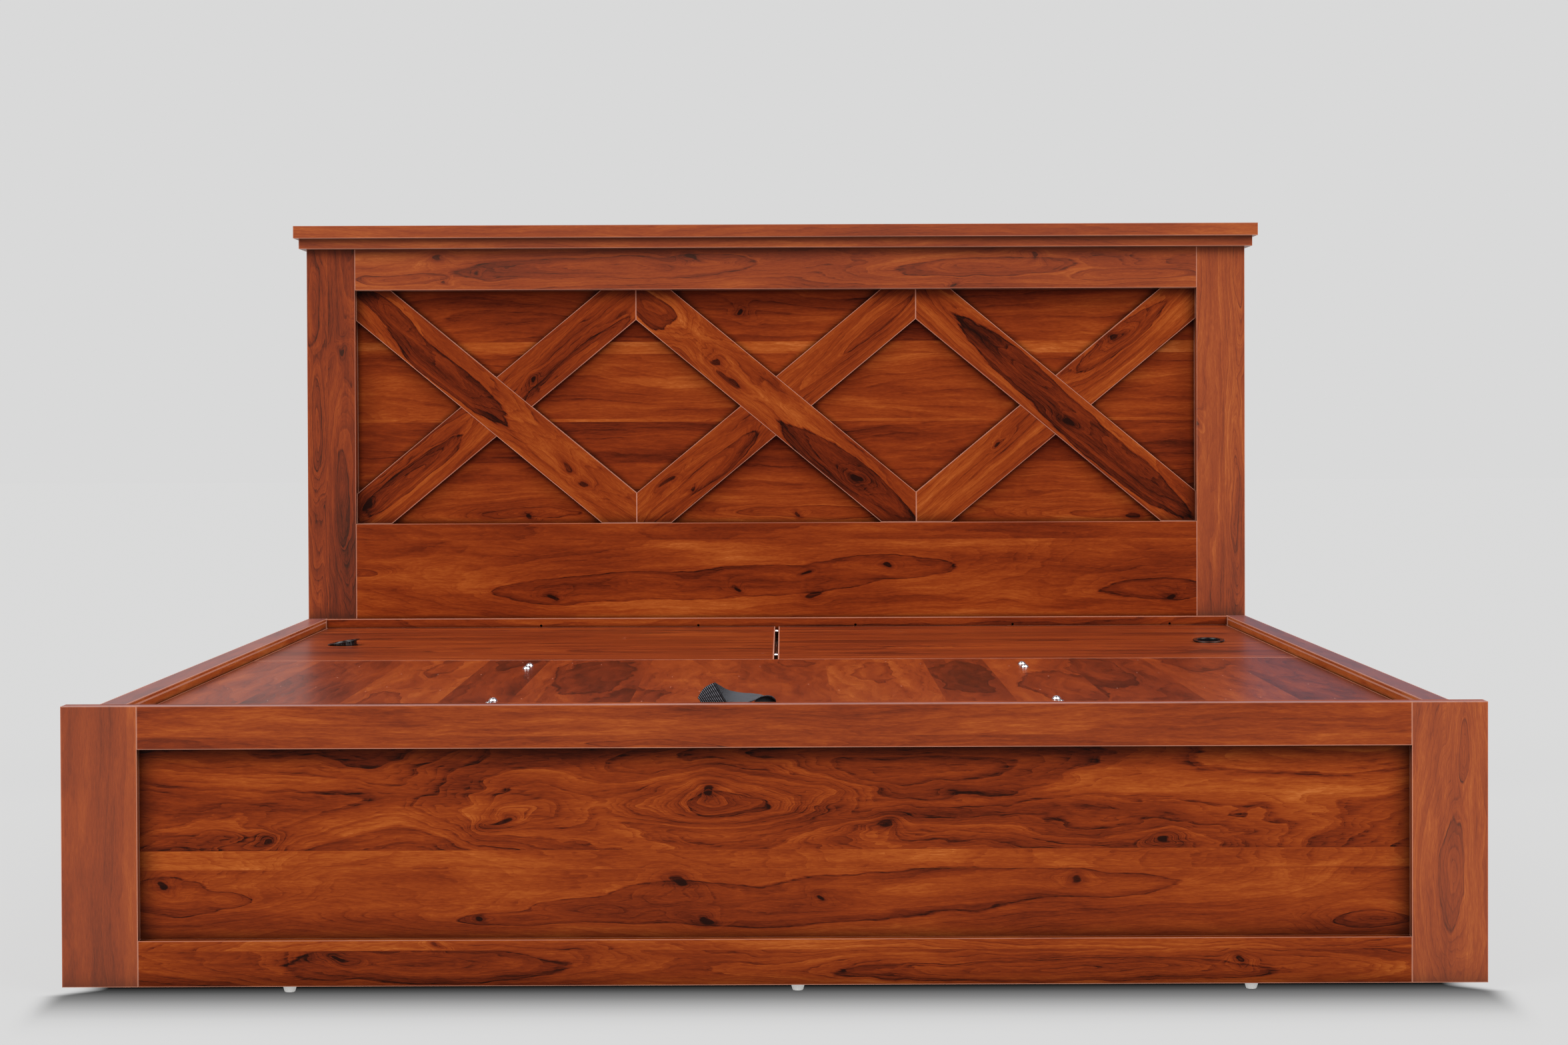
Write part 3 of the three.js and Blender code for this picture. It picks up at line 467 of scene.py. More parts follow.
# %% Braces
SLOPE_RUN, SLOPE_RISE = 501, 415.5
SLOPE_LENGTH = math.hypot(SLOPE_RUN, SLOPE_RISE)
RUN, RISE = SLOPE_RUN / SLOPE_LENGTH, SLOPE_RISE / SLOPE_LENGTH
DOWN, DOWN_ACROSS = (RUN, 0, -RISE), (RISE, 0.3, RUN)
UP, UP_ACROSS = (RUN, 0, RISE), (-RISE, 0.3, RUN)
BRACE_Y = 0.992
braces = {
    "long_left": dict(tone=0.66, dark=0.3, hearts=[(-785, 1020, 110, 22), (-665, 900, 150, 32)],
                      knots=[(-440, 722, 9), (-410, 690, 8)]),
    "upper_left": dict(tone=0.58, hearts=[(-430, 918, 160, 18)], knots=[(-495, 895, 6)]),
    "lower_left": dict(tone=0.58, hearts=[(-740, 700, 120, 22)], knots=[(-820, 650, 10)]),
    "long_middle": dict(tone=0.68, dark=0.34, hearts=[(-262, 1040, 60, 30), (150, 690, 190, 40)],
                        knots=[(-90, 900, 11), (-70, 870, 10), (150, 700, 10)]),
    "upper_middle": dict(tone=0.62, hearts=[(215, 1005, 100, 12)]),
    "lower_middle": dict(tone=0.6, hearts=[(-150, 690, 140, 20)],
                         knots=[(-215, 690, 7), (-180, 660, 6)]),
    "long_right": dict(tone=0.62, dark=0.28, hearts=[(510, 900, 170, 32), (695, 725, 200, 36)],
                       knots=[(600, 800, 8)]),
    "upper_right": dict(tone=0.66, hearts=[(700, 968, 100, 22)], knots=[(690, 975, 9)]),
    "lower_right": dict(tone=0.66, knots=[(480, 780, 4)]),
}
for index, (part, look) in enumerate(braces.items()):
    along, across = (DOWN, DOWN_ACROSS) if part.startswith("long") else (UP, UP_ACROSS)
    way = Vector((across[0], 0, across[2]))
    spread = [vertex.co.dot(way) for vertex in nodes["cross_brace_" + part].data.vertices]
    laminate(
        "cross_brace_" + part, along, across, (0, BRACE_Y, 0), seed=44.0 + 5.3 * index,
        edge=0.0011, pitch=0.016, pale=0.9, pale_lines=[(way, min(spread)), (way, max(spread))], **look,
    )
print(len(braces), "braces dressed")

# %% [markdown]
# ## Footboard
# The footboard is the nearest thing to the camera: a frame of four boards on a panel that shows two planks, a
# red-brown one full of swirling growth lines above and a golden one with a long dark tongue below. Patches of a
# slightly other tone stand for the places where the real laminate is redder or paler.

# %% Footboard
FOOT_Y = -1.07
PANEL_Y = -1.052
laminate(
    "footboard_top_rail", LEVEL, FRONT_ACROSS, (0, FOOT_Y, 0), seed=95.0, tone=0.59,
    painted_sheen=0.03, top_sheen=0.5,
    planks=[(0.362, 0.05)], lines=0.18, grain=0.8, hearts=[(-160, 352, 100, 4)],
    patches=[(-150, 399, 120, 6, -0.25), (-300, 376, 100, 30, -0.03), (860, 376, 140, 30, 0.12),
             (-40, 376, 220, 30, -0.12), (560, 376, 120, 30, -0.08), (-700, 376, 200, 30, 0.05)],
)
laminate(
    "footboard_bottom_rail", LEVEL, FRONT_ACROSS, (0, FOOT_Y, 0), seed=99.5, tone=0.56,
    planks=[(0.06, 0.14)], hearts=[(-500, 38, 200, 24), (420, 30, 300, 16)],
    patches=[(-340, 40, 260, 50, -0.13), (110, 40, 160, 50, 0.09), (640, 40, 120, 50, 0.08)],
    knots=[(-610, 48, 6), (665, 45, 7), (-478, 69, 4)],
)
laminate(
    "footboard_stile_left", UPRIGHT, STILE_ACROSS, (0, FOOT_Y, 0), seed=104.0, tone=0.58,
    lines=0.16, grain=0.35, painted_sheen=0.11, top_sheen=0.5, patches=[(-950, 40, 160, 200, -0.08)],
)
laminate(
    "footboard_stile_right", UPRIGHT, STILE_ACROSS, (0, FOOT_Y, 0), seed=109.0,
    tone=0.62, lines=0.3, grain=0.65, painted_sheen=0.11, top_sheen=0.5,
    hearts=[(968, 330, 60, 8), (950, 150, 80, 18)],
)
laminate(
    "footboard_panel", LEVEL, FRONT_ACROSS, (0, PANEL_Y, 0), seed=114.0, tone=0.62, lines=0.24,
    planks=[(0.172, 0.06), (0.199, -0.15, 0.4)], pitch=0.026,
    hearts=[(-360, 100, 100, 10), (-230, 112, 120, 20), (-130, 128, 100, 28), (20, 118, 200, 30), (210, 138, 200, 34),
            (430, 146, 130, 18), (-860, 136, 70, 28), (-780, 130, 60, 12), (860, 95, 50, 12), (-60, 264, 50, 16)],
    knots=[(-140, 155, 10), (-855, 150, 9), (425, 155, 8), (-100, 98, 7), (-75, 283, 10), (-390, 240, 7), (70, 130, 5),
           (150, 235, 7), (-705, 212, 6), (540, 212, 6), (-425, 102, 5)],
    patches=[(-870, 260, 120, 60, -0.06), (-300, 320, 350, 30, -0.06), (300, 320, 300, 30, -0.06),
             (40, 250, 280, 50, -0.11), (-700, 300, 140, 30, 0.08), (700, 290, 200, 50, 0.1),
             (-560, 180, 500, 20, 0.06), (60, 105, 450, 30, -0.09), (860, 240, 80, 60, 0.05),
             (-460, 150, 120, 20, -0.1), (600, 250, 160, 30, 0.07)],
    swirls=[(-764, 222, 120, 34), (545, 215, 140, 30), (-356, 257, 70, 34)],
)
print("footboard dressed")

# %% [markdown]
# ## Box, platform and rails
# Between the rails lie the lift lid, whose planks run towards the headboard, and the two loose panels behind it, whose
# grain runs across the bed. They are seen at a very flat angle, so their gloss matters as much as their colour.

# %% Rails, lid and panels
TOP_Z = 0.388
RAIL_TOP, RAIL_LINE, RAIL_INNER = 0.406, 0.3998, 0.918
HEAD_END_Y = 0.956
UNDER_LID = 0.37
BOX_FLOOR = 0.028
ALONG_BED = (0, 1, 0)
for side, sign in (("left", -1), ("right", 1)):
    laminate(
        "side_rail_" + side, ALONG_BED, (sign, 0, 1), (sign * RAIL_INNER, 0, RAIL_TOP),
        seed=120.0 + sign, tone=0.46, gloss=0.4, lines=0.32, grain=0.5, pale=1.4, edge=0.0014, shade_reach=0.006,
        # The inner and outer faces are painted lighter than the top, as lit faces.
        top_sheen=0.22, painted_face_light=[((-sign, 0, 0), 0.4), ((sign, 0, 0), 0.14)], pale_lines=[(UPRIGHT, RAIL_LINE)],
    )
laminate("head_cross_rail", LEVEL, (0, 1, 1), (0, HEAD_END_Y, RAIL_TOP), seed=126.0, tone=0.6,
         gloss=0.1, shade_reach=0.008, edge=0.0012, pale=1.2)
laminate(
    "lift_lid", ALONG_BED, (1, 0, 0.4), (0, 0, TOP_Z), seed=131.0, tone=0.58, gloss=0.45, lying=True,
    lines=0.3, grain=0.4, pitch=0.03, edge=0.0016, pale=1.0, wave=0.075, dark=0.13, dust=0.55,
    planks=[(-0.795, -0.1), (-0.645, 0.2), (-0.5, -0.3), (-0.395, 0.26), (-0.355, -0.2), (-0.215, 0.2), (-0.06, -0.08),
            (0.085, 0.14), (0.255, -0.28), (0.36, 0.22), (0.5, -0.2), (0.64, 0.14), (0.78, -0.16)],
    hearts=[(-300, -300, 340, 65), (-215, -780, 200, 55), (450, -540, 300, 60), (165, -300, 200, 35),
            (-560, -130, 170, 32), (-590, -820, 220, 35), (540, -250, 340, 38), (720, 0, 250, 60), (305, -380, 340, 45),
            (-450, 20, 160, 30), (40, -60, 120, 30)],
    knots=[(-600, -240, 8), (130, -160, 6), (-560, -500, 6)],
)
for side, sign, hearts in (
    ("left", -1, [(-550, 760, 350, 50), (-620, 605, 180, 40), (-225, 475, 220, 30),
                  (-150, 270, 220, 60), (-800, 260, 180, 30)]),
    ("right", 1, [(550, 685, 340, 40), (270, 500, 270, 35), (100, 330, 100, 60),
                  (500, 190, 330, 50)]),
):
    laminate(
        "rear_panel_" + side, LEVEL, (0, 1, 0.4), (0, 0, TOP_Z), seed=140.0 + 4 * sign,
        tone=0.55, hearts=hearts, edge=0.002, pale=1.6, gloss=0.45, grain=0.6, lines=0.5, pitch=0.03, dust=0.2,
        lying=True,
    )
for index, part in enumerate(
    ["side_ledger_left", "side_ledger_right", "partition_left", "partition_right", "rear_partition"]
):
    laminate(part, ALONG_BED, (0.5, 0, 1), (0, 0, UNDER_LID), seed=150.0 + index, tone=0.45)
laminate("cross_partition", LEVEL, (0, 0.5, 1), (0, 0, UNDER_LID), seed=158.0, tone=0.45)
laminate("floor_panel", LEVEL, (0, 1, 0.5), (0, 0, BOX_FLOOR), seed=161.0, tone=0.45)
print("box, platform and rails dressed")

# %% [markdown]
# ## Metal, plastic and webbing
# The fittings are small, so their finishes are simple: a colour, a roughness that varies a little as handling and
# plating leave it, and a fine bump. A metal with a perfectly even roughness looks like a drawing of metal, and that
# is why even a bolt head gets a noise.

# %% Finishes of the fittings
def fitting(name, colour, roughness, metallic, speck=240.0, bump=0.02, pale_overlay=None, glow=0.0):
    """A finish with slightly uneven colour and gloss, lighter along its raised edges where it is handled."""
    made, shader, wire = material(name)
    place = wire.node("ShaderNodeTexCoord", out="Object")
    sockets = {"Vector": place, "Scale": speck, "Detail": 3.0}
    noise = wire.node("ShaderNodeTexNoise", {"noise_dimensions": "3D"}, sockets)
    ridge = wire.node("ShaderNodeNewGeometry", out="Pointiness").rise(0.52, 0.60)
    base = (noise.rise(0.3, 0.7) * 0.25).blend(srgb(*colour), srgb(*[c * 0.8 for c in colour]))
    edge = pale_overlay or [min(c * 1.3 + 8, 255) for c in colour]
    feed(shader, Base_Color=(ridge * 0.6).blend(base, srgb(*edge)), Metallic=metallic,
         Roughness=(noise - 0.5) * 0.16 + roughness)
    relief = wire.node("ShaderNodeBump", None, {"Strength": bump, "Distance": 0.0003, "Height": noise})
    feed(shader, Normal=relief)
    # A painted glow: the finish gives off a little light of its own, in place of light bounced onto it.
    if glow:
        feed(shader, Emission_Color=srgb(*colour), Emission_Strength=glow)
    return made


chrome = fitting("chrome", (242, 242, 244), 0.12, 1.0)
zinc = fitting("zinc_plate", (182, 186, 190), 0.34, 1.0, speck=90.0)
black_paint = fitting("black_paint", (26, 26, 28), 0.28, 0.0)
black_plastic = fitting("black_plastic", (17, 17, 19), 0.16, 0.0, pale_overlay=(44, 44, 48))
# The glides get a faint painted glow, standing in for light bounced up from the floor.
white_plastic = fitting("white_plastic", (240, 239, 236), 0.45, 0.0, speck=120.0, glow=0.35)
for part in nodes:
    if part.startswith("lift_") and part != "lift_lid":
        dress(part, zinc)
    elif part.startswith("gas_cylinder"):
        dress(part, black_paint)
    elif part.startswith(("gas_rod", "lid_bolts", "gap_screw")):
        dress(part, chrome)
    elif part.startswith("glide"):
        dress(part, white_plastic)
    elif part.startswith("finger_ring"):
        dress(part, black_plastic)
print("metal and plastic finishes ready")

# %% [markdown]
# ## Turned shapes
# Bolt heads, screw heads, rings and glides are all turned: one half profile swept round an axis. Blender's Spin tool
# could do it, but a short loop also lets the radius change with the angle, which is how a socket becomes a hexagon
# and a plastic barrel gets its flutes.

# %% Turning
def turned(name, profile, segments=48):
    """A closed mesh from points (radius, height) in millimetres. A third value scales the radius by angle."""
    vertices, faces, rows = [], [], []
    for radius, height, *form in profile:
        if radius == 0:
            rows.append([len(vertices)])
            vertices.append((0.0, 0.0, height / 1000))
            continue
        rows.append(list(range(len(vertices), len(vertices) + segments)))
        for step in range(segments):
            turn = 2 * math.pi * step / segments
            reach = radius * (form[0](turn) if form else 1.0) / 1000
            vertices.append((reach * math.cos(turn), reach * math.sin(turn), height / 1000))
    for low, high in zip(rows, rows[1:]):
        for step in range(segments):
            after = (step + 1) % segments
            if len(low) == 1:
                faces.append((low[0], high[after], high[step]))
            elif len(high) == 1:
                faces.append((low[step], low[after], high[0]))
            else:
                faces.append((low[step], low[after], high[after], high[step]))
    mesh = bpy.data.meshes.new(name)
    mesh.from_pydata(vertices, [], faces)
    mesh.update()
    return mesh


def hexagon(turn):
    return math.cos(math.pi / 6) / math.cos((turn % (math.pi / 3)) - math.pi / 6)


def flutes(turn):
    return 1.0 - 0.018 * (0.5 - 0.5 * math.cos(24 * turn))


def arc(centre, radius, start, end, steps):
    """Profile points on part of a circle, with its angles in degrees."""
    points = []
    for step in range(steps + 1):
        turn = math.radians(start + (end - start) * step / steps)
        points.append((centre[0] + radius * math.cos(turn), centre[1] + radius * math.sin(turn)))
    return points


def piece(name, mesh, finish, smooth_angle=35):
    made = bpy.data.objects.new(name, mesh)
    bpy.context.scene.collection.objects.link(made)
    mesh.materials.clear()
    mesh.materials.append(finish)
    mesh.shade_smooth()
    mesh.set_sharp_from_angle(angle=math.radians(smooth_angle))
    return made


def mesh_box(made):
    points = [vertex.co for vertex in made.data.vertices]
    return [min(p[i] for p in points) for i in range(3)], [max(p[i] for p in points) for i in range(3)]


print("turning ready")

# %% [markdown]
# ## Bolts, screws and glides in rows
# Eight domed bolts hold the lid to the lift arms, in four pairs, each pair screwed into a nut strip under the lid. Two
# small screws stand in the gap between the rear panels, and five plastic glides stand on the floor. Copying objects
# by hand would do, but a Geometry Nodes tree says it once: put a row of this fastener, with this strip, on every point.
# The tree ends by making its copies real, because an exported model can't hold instances.

# %% A tree that sets fasteners on points
def fastener_tree():
    tree = bpy.data.node_groups.new("fasteners_on_points", "GeometryNodeTree")
    for name, kind in (("Places", "Geometry"), ("Fastener", "Object"), ("Strip", "Object"), ("Per Strip", "Int"),
                       ("Pitch", "Vector"), ("Finish", "Material")):
        tree.interface.new_socket(name, in_out="INPUT", socket_type="NodeSocket" + kind)
    tree.interface.new_socket("Geometry", in_out="OUTPUT", socket_type="NodeSocketGeometry")
    inputs, wire = tree.nodes.new("NodeGroupInput"), Wire(tree)
    given = {socket.name: Wire(tree, socket) for socket in inputs.outputs if socket.name}
    fastener = wire.node("GeometryNodeObjectInfo", None, {"Object": given["Fastener"]}, "Geometry")
    strip = wire.node("GeometryNodeObjectInfo", None, {"Object": given["Strip"]}, "Geometry")
    row = wire.node("GeometryNodeMeshLine", {"mode": "OFFSET"}, {"Count": given["Per Strip"], "Offset": given["Pitch"]})
    row = wire.node("GeometryNodeInstanceOnPoints", None, {"Points": row, "Instance": fastener})
    joint = tree.nodes.new("GeometryNodeJoinGeometry")
    for part in (row, strip):
        tree.links.new(part.socket, joint.inputs[0])
    group = wire.node("GeometryNodeGeometryToInstance", None, {0: Wire(tree, joint.outputs[0])})
    sockets = {"Points": given["Places"], "Instance": group}
    placed = wire.node("GeometryNodeInstanceOnPoints", None, sockets)
    real = wire.node("GeometryNodeRealizeInstances", None, {"Geometry": placed})
    done = wire.node("GeometryNodeSetMaterial", None, {"Geometry": real, "Material": given["Finish"]})
    outputs = tree.nodes.new("NodeGroupOutput")
    tree.links.new(done.socket, outputs.inputs[0])
    return tree


FASTENERS = fastener_tree()


def scatter(name, places, finish, fastener, strip=None, per_strip=1, pitch=(0, 0, 0)):
    """Runs the tree once and returns its result as a plain mesh piece."""
    points = bpy.data.meshes.new(name + "_places")
    points.from_pydata(places, [], [])
    host = bpy.data.objects.new(name + "_host", points)
    sources = [bpy.data.objects.new(name + "_source", mesh) for mesh in (fastener, strip) if mesh]
    for made in (host, *sources):
        bpy.context.scene.collection.objects.link(made)
    modifier = host.modifiers.new("fasteners", "NODES")
    modifier.node_group = FASTENERS
    sockets = {item.name: item.identifier for item in FASTENERS.interface.items_tree if item.in_out == "INPUT"}
    values = {"Fastener": sources[0], "Per Strip": per_strip, "Pitch": pitch, "Finish": finish}
    if strip:
        values["Strip"] = sources[1]
    for key, value in values.items():
        modifier[sockets[key]] = value
    bpy.context.view_layer.update()
    ready = host.evaluated_get(bpy.context.evaluated_depsgraph_get())
    mesh = bpy.data.meshes.new_from_object(ready)
    host.modifiers.clear()
    for made in (host, *sources):
        bpy.data.objects.remove(made)
    made = piece(name, mesh, finish)
    print(name, len(mesh.polygons), "faces from", len(places), "places")
    return made


# %% Lid bolts
BOLT_SPACING = 0.064
STRIP_TOP = -0.021


def spot_over(part, back=0.0, height=0.0):
    """The middle of a model part's box seen from above, a bit nearer to the foot end and at a given height."""
    low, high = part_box(part)
    return (low[0] + high[0]) / 2, (low[1] + high[1]) / 2 - back, height


def bolt_mesh():
    """A button head bolt from its tail up: shank, washer face, dome, and a hexagon socket in the crown."""
    dome = [(7.0 - 4.0 * s, 1.2 + 4.0 * math.sin(math.pi / 2 * s)) for s in [k / 10 for k in range(11)]]
    return turned("bolt", [
        (0, -31), (3.4, -31), (4, -30.2), (4, 0), (6.6, 0), (7, 0.4), *dome,
        (2.9, 5.15, hexagon), (2.75, 4.9, hexagon), (2.75, 2.6, hexagon), (0, 2.4),
    ])


def strip_mesh(half_width, half_length, thickness, bevel):
    """A nut strip: a flat bar with bevelled edges, its top face at zero."""
    mesh = bpy.data.meshes.new("nut_strip")
    form = bmesh.new()
    bmesh.ops.create_cube(form, size=1.0)
    for vertex in form.verts:
        x, y, z = vertex.co
        vertex.co = (2 * half_width * x, 2 * half_length * y, thickness * (z - 0.5))
    bmesh.ops.bevel(form, geom=form.edges[:], offset=bevel, segments=2, affect="EDGES")
    form.to_mesh(mesh)
    form.free()
    return mesh


bolt_parts = ["lid_bolts_front_left", "lid_bolts_front_right", "lid_bolts_rear_left", "lid_bolts_rear_right"]
bolt_rows = [spot_over(part, BOLT_SPACING / 2, TOP_Z) for part in bolt_parts]
strip = strip_mesh(0.009, 0.046, 0.006, 0.0006)
strip.transform(Matrix.Translation((0, BOLT_SPACING / 2, STRIP_TOP)))
bolts = scatter("lid_bolts", bolt_rows, chrome, bolt_mesh(), strip, 2, (0, BOLT_SPACING, 0))
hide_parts(*bolt_parts)
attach(bolts, "lid")

# %% Gap screws
low_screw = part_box("gap_screw_near")
screw_top, screw_bottom = low_screw[1][2] * 1000, low_screw[0][2] * 1000
head = [(4.8 - 2.8 * s, screw_top - 2.8 + 2.8 * math.sin(math.pi / 2 * s)) for s in [k / 8 for k in range(9)]]
screw = turned("gap_screw", [
    (0, screw_bottom), (1.2, screw_bottom + 1.5), (2, screw_bottom + 4), (2, screw_top - 3.6),
    (4.5, screw_top - 3.6), (4.8, screw_top - 3.3), *head,
    (1.9, screw_top - 0.1, hexagon), (1.7, screw_top - 1.6, hexagon), (0, screw_top - 1.7),
], 40)
screws = scatter("gap_screws", [spot_over(part) for part in ("gap_screw_near", "gap_screw_far")], chrome, screw)
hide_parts("gap_screw_near", "gap_screw_far")
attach(screws, "bed")

# %% Glides
glide_parts = [part for part in nodes if part.startswith("glide_")]
glide = turned("glide", [
    (0, 0), (6.2, 0), (7.0, 0.25), (7.5, 1.0), (8.6, 4.6), (9.6, 8.0),
    (10, 8.6), (10, 10), (0, 10),
], 40)
glides = scatter("floor_glides", [spot_over(part) for part in glide_parts], white_plastic, glide)
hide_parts(*glide_parts)
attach(glides, "bed")

# %% [markdown]
# ## Finger rings
# Each rear panel has a hole lined with a black plastic ring to lift it by. In the photograph both rings lie loose,
# tipped out of their holes. The model holds the places and the tilts. Here each ring is turned again with a rolled
# lip and a fluted barrel, because these catch the light and are what makes them look like plastic.

# %% Rings
ring_profile = [
    (21, -13), (23.2, -13), (24, -12.2, flutes), (24, -0.2, flutes), (24.3, 0), (29.4, 0),
    *arc((29.0, 1.0), 1.0, -60, 90, 6), (26.5, 1.75), (24.5, 1.55), *arc((22.4, 1.0), 1.0, 70, 180, 6),
    (21, -1), (21, -13),
]
RINGS = {
    "left": ((-0.842, 0.448, TOP_Z), (0.030, 0, 0), "Y", -9.5, "left_rear_panel"),
    "right": ((0.812, 0.418, TOP_Z), (0, 0.030, 0), "X", 5.0, "right_rear_panel"),
}


def off_by(made, part):
    """How far a piece's box is off its model part's, side by side, in millimetres."""
    sides = [pair for both in zip(mesh_box(made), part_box(part)) for pair in zip(*both)]
    return [round(1000 * (here - there), 2) for here, there in sides]


for side, (pivot, reach, axis, degrees, body) in RINGS.items():
    mesh = turned("ring_" + side, ring_profile, 192)
    mesh.transform(Matrix.Translation(reach))
    mesh.transform(Matrix.Rotation(math.radians(degrees), 4, axis))
    mesh.transform(Matrix.Translation(pivot))
    seam = bmesh.new()
    seam.from_mesh(mesh)
    bmesh.ops.remove_doubles(seam, verts=seam.verts, dist=1e-6)
    bmesh.ops.recalc_face_normals(seam, faces=seam.faces)
    seam.to_mesh(mesh)
    seam.free()
    ring = piece("ring_" + side, mesh, black_plastic, 50)
    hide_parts("finger_ring_" + side)
    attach(ring, body)
    print(side, "ring is off its model by mm", off_by(ring, "finger_ring_" + side))

# %% [markdown]
# ## Pull strap
# The lid is pulled up by a loop of black webbing that comes out at its front edge, folds over, arches and goes back
# in. Webbing is woven in cords that run along it, so one face shows fine raised ribs and the other a plain speckled
# weave. The ribs are real here: they are modelled across the strap's width on one face, so its edge in the light is
# ribbed too. The two edges of the strap are smooth curves through points that keep close to the model's own, and at
# the fold the middle of the strap bulges, as stiff webbing does.

# %% Strap
# The strap's edges in millimetres from STRAP_ORIGIN, the middle of the lid's front top edge.
STRAP_LEFT_EDGE = [
    (-83, 41, -19.2), (-83, 11, -19.2), (-83.5, 1, -19.8), (-84, -3.6, -16.5), (-87, -4.3, -9), (-94.3, -4.3, 0),
    (-101, -4.6, 12), (-106.5, -5, 21.1), (-107.2, -5.2, 22.2), (-107.8, -4.6, 22.8), (-108, -2.6, 23),
    (-107, -0.6, 22.2), (-98, 0.5, 17), (-80, 3, 13), (-62, 3, 12), (-45, 0, 14.5), (-27, -3.5, 20.6), (-18, -4, 25.2),
    (-10.7, -4, 26.7), (-3, -4, 25.3), (1.2, -2.5, 21.3), (-6, 1, 25), (-20, 1, 23.6), (-31.5, -1, 13),
    (-28, -4.3, -10), (-28, -3.6, -16.5), (-28, 1, -19.8), (-28, 11, -19.2), (-28, 41, -19.2),
]
STRAP_RIGHT_EDGE = [
    (-47, 41, -19.2), (-47, 11, -19.2), (-47.5, 1, -19.8), (-48, -3.6, -16.5), (-51, -4.3, -9), (-57.1, -4.3, 0),
    (-63.5, -4.6, 12), (-69.4, -5, 20.9), (-77, -5, 34), (-82.5, -4.4, 43.8), (-83.2, -2, 45), (-82, 0, 44),
    (-77, 4, 40.8), (-67.8, 15, 34.4), (-58.4, 25, 30.2), (-44.2, 30, 27.4), (-30, 33, 26.2), (-17.6, 33, 24),
    (-6.1, 32, 17), (-0.5, 30, 12.5), (3, 26, 10.5), (6, 14, 9), (7.5, 2, 5), (8, -4, -1), (8, -4.3, -10),
    (8, -3.6, -16.5), (8, 1, -19.8), (8, 11, -19.2), (8, 41, -19.2),
]
STRAP_ORIGIN = Vector((0, -1.026, TOP_Z))
STRAP_THICKNESS = 0.0017
RIB_COUNT = 12
RIB_HEIGHT = 0.00035
EDGE_ROUND = 0.0002
FOLD_SHARE = 0.345
FOLD_WIDTH = 0.06
FOLD_CROWN = Vector((-0.66, 0.0, 0.75)) * 0.0045
STATIONS = 220
NEIGHBOUR = 0.004
# The strap's own map, in metres: its width, the start of the back beside it, and the length of a station.
WEBBING_WIDTH = 0.045
UV_BACK = 0.1
UV_STEP = 0.0014


def smooth_curve(points, share):
    """A point on the centripetal spline through the points, at a share from 0 to 1 of their count."""
    last = len(points) - 1
    start = min(int(share * last), last - 1)
    local = share * last - start
    line = [Vector(point) for point in points]
    line = [2 * line[0] - line[1], *line, 2 * line[-1] - line[-2]]
    a, b, c, d = line[start:start + 4]
    ab, bc, cd = ((q - p).length ** 0.5 or 1.0 for p, q in ((a, b), (b, c), (c, d)))
    leave = ((b - a) / ab - (c - a) / (ab + bc) + (c - b) / bc) * bc
    arrive = ((c - b) / bc - (d - b) / (bc + cd) + (d - c) / cd) * bc
    square, cube = local * local, local * local * local
    return (b * (2 * cube - 3 * square + 1) + leave * (cube - 2 * square + local)
            + c * (3 * square - 2 * cube) + arrive * (cube - square))


def strap_mesh():
    """The strap as one closed ribbon: ribbed on its outer face, plain on its inner face, with rounded edges."""
    edges = STRAP_LEFT_EDGE, STRAP_RIGHT_EDGE
    across = [0.0]
    for rib in range(RIB_COUNT):
        across += [(rib + share) / RIB_COUNT for share in (0.2, 0.5, 0.8, 1.0)]
    rows, vertices = [], []
    for k in range(STATIONS + 1):
        share = k / STATIONS
        near, far = (smooth_curve(edge, share) for edge in edges)
        before = [smooth_curve(edge, max(share - NEIGHBOUR, 0)) for edge in edges]
        after = [smooth_curve(edge, min(share + NEIGHBOUR, 1)) for edge in edges]
        normal = (far - near).cross((after[0] + after[1]) - (before[0] + before[1])).normalized()
        crown = FOLD_CROWN * math.exp(-(((share - FOLD_SHARE) / FOLD_WIDTH) ** 2))
        row = []
        for index, t in enumerate(across):
            valley = RIB_HEIGHT if index % 4 == 0 else 0.0
            middle = near.lerp(far, t) / 1000 + crown * math.sin(math.pi * t)
            row.append(middle + normal * (STRAP_THICKNESS / 2 - valley))
        for t in reversed(across[::4]):
            middle = near.lerp(far, t) / 1000 + crown * math.sin(math.pi * t)
            row.append(middle - normal * (STRAP_THICKNESS / 2 - EDGE_ROUND))
        rows.append(range(len(vertices), len(vertices) + len(row)))
        vertices += [tuple(point + STRAP_ORIGIN) for point in row]
    faces = [tuple(reversed(rows[0])), tuple(rows[-1])]
    for low, high in zip(rows, rows[1:]):
        for k in range(len(low)):
            after = (k + 1) % len(low)
            faces.append((low[k], low[after], high[after], high[k]))
    mesh = bpy.data.meshes.new("pull_strap_webbing")
    mesh.from_pydata(vertices, [], faces)
    form = bmesh.new()
    form.from_mesh(mesh)
    bmesh.ops.triangulate(form, faces=[face for face in form.faces if len(face.verts) > 4])
    bmesh.ops.recalc_face_normals(form, faces=form.faces)
    form.to_mesh(mesh)
    form.free()
    layer = mesh.uv_layers.new(name="UVMap")
    width = len(rows[0])
    flat = across + list(reversed(across[::4]))
    for loop in mesh.loops:
        station, place = divmod(loop.vertex_index, width)
        back = UV_BACK if place >= len(across) else 0.0
        layer.data[loop.index].uv = (flat[place] * WEBBING_WIDTH + back, station * UV_STEP)
    return mesh


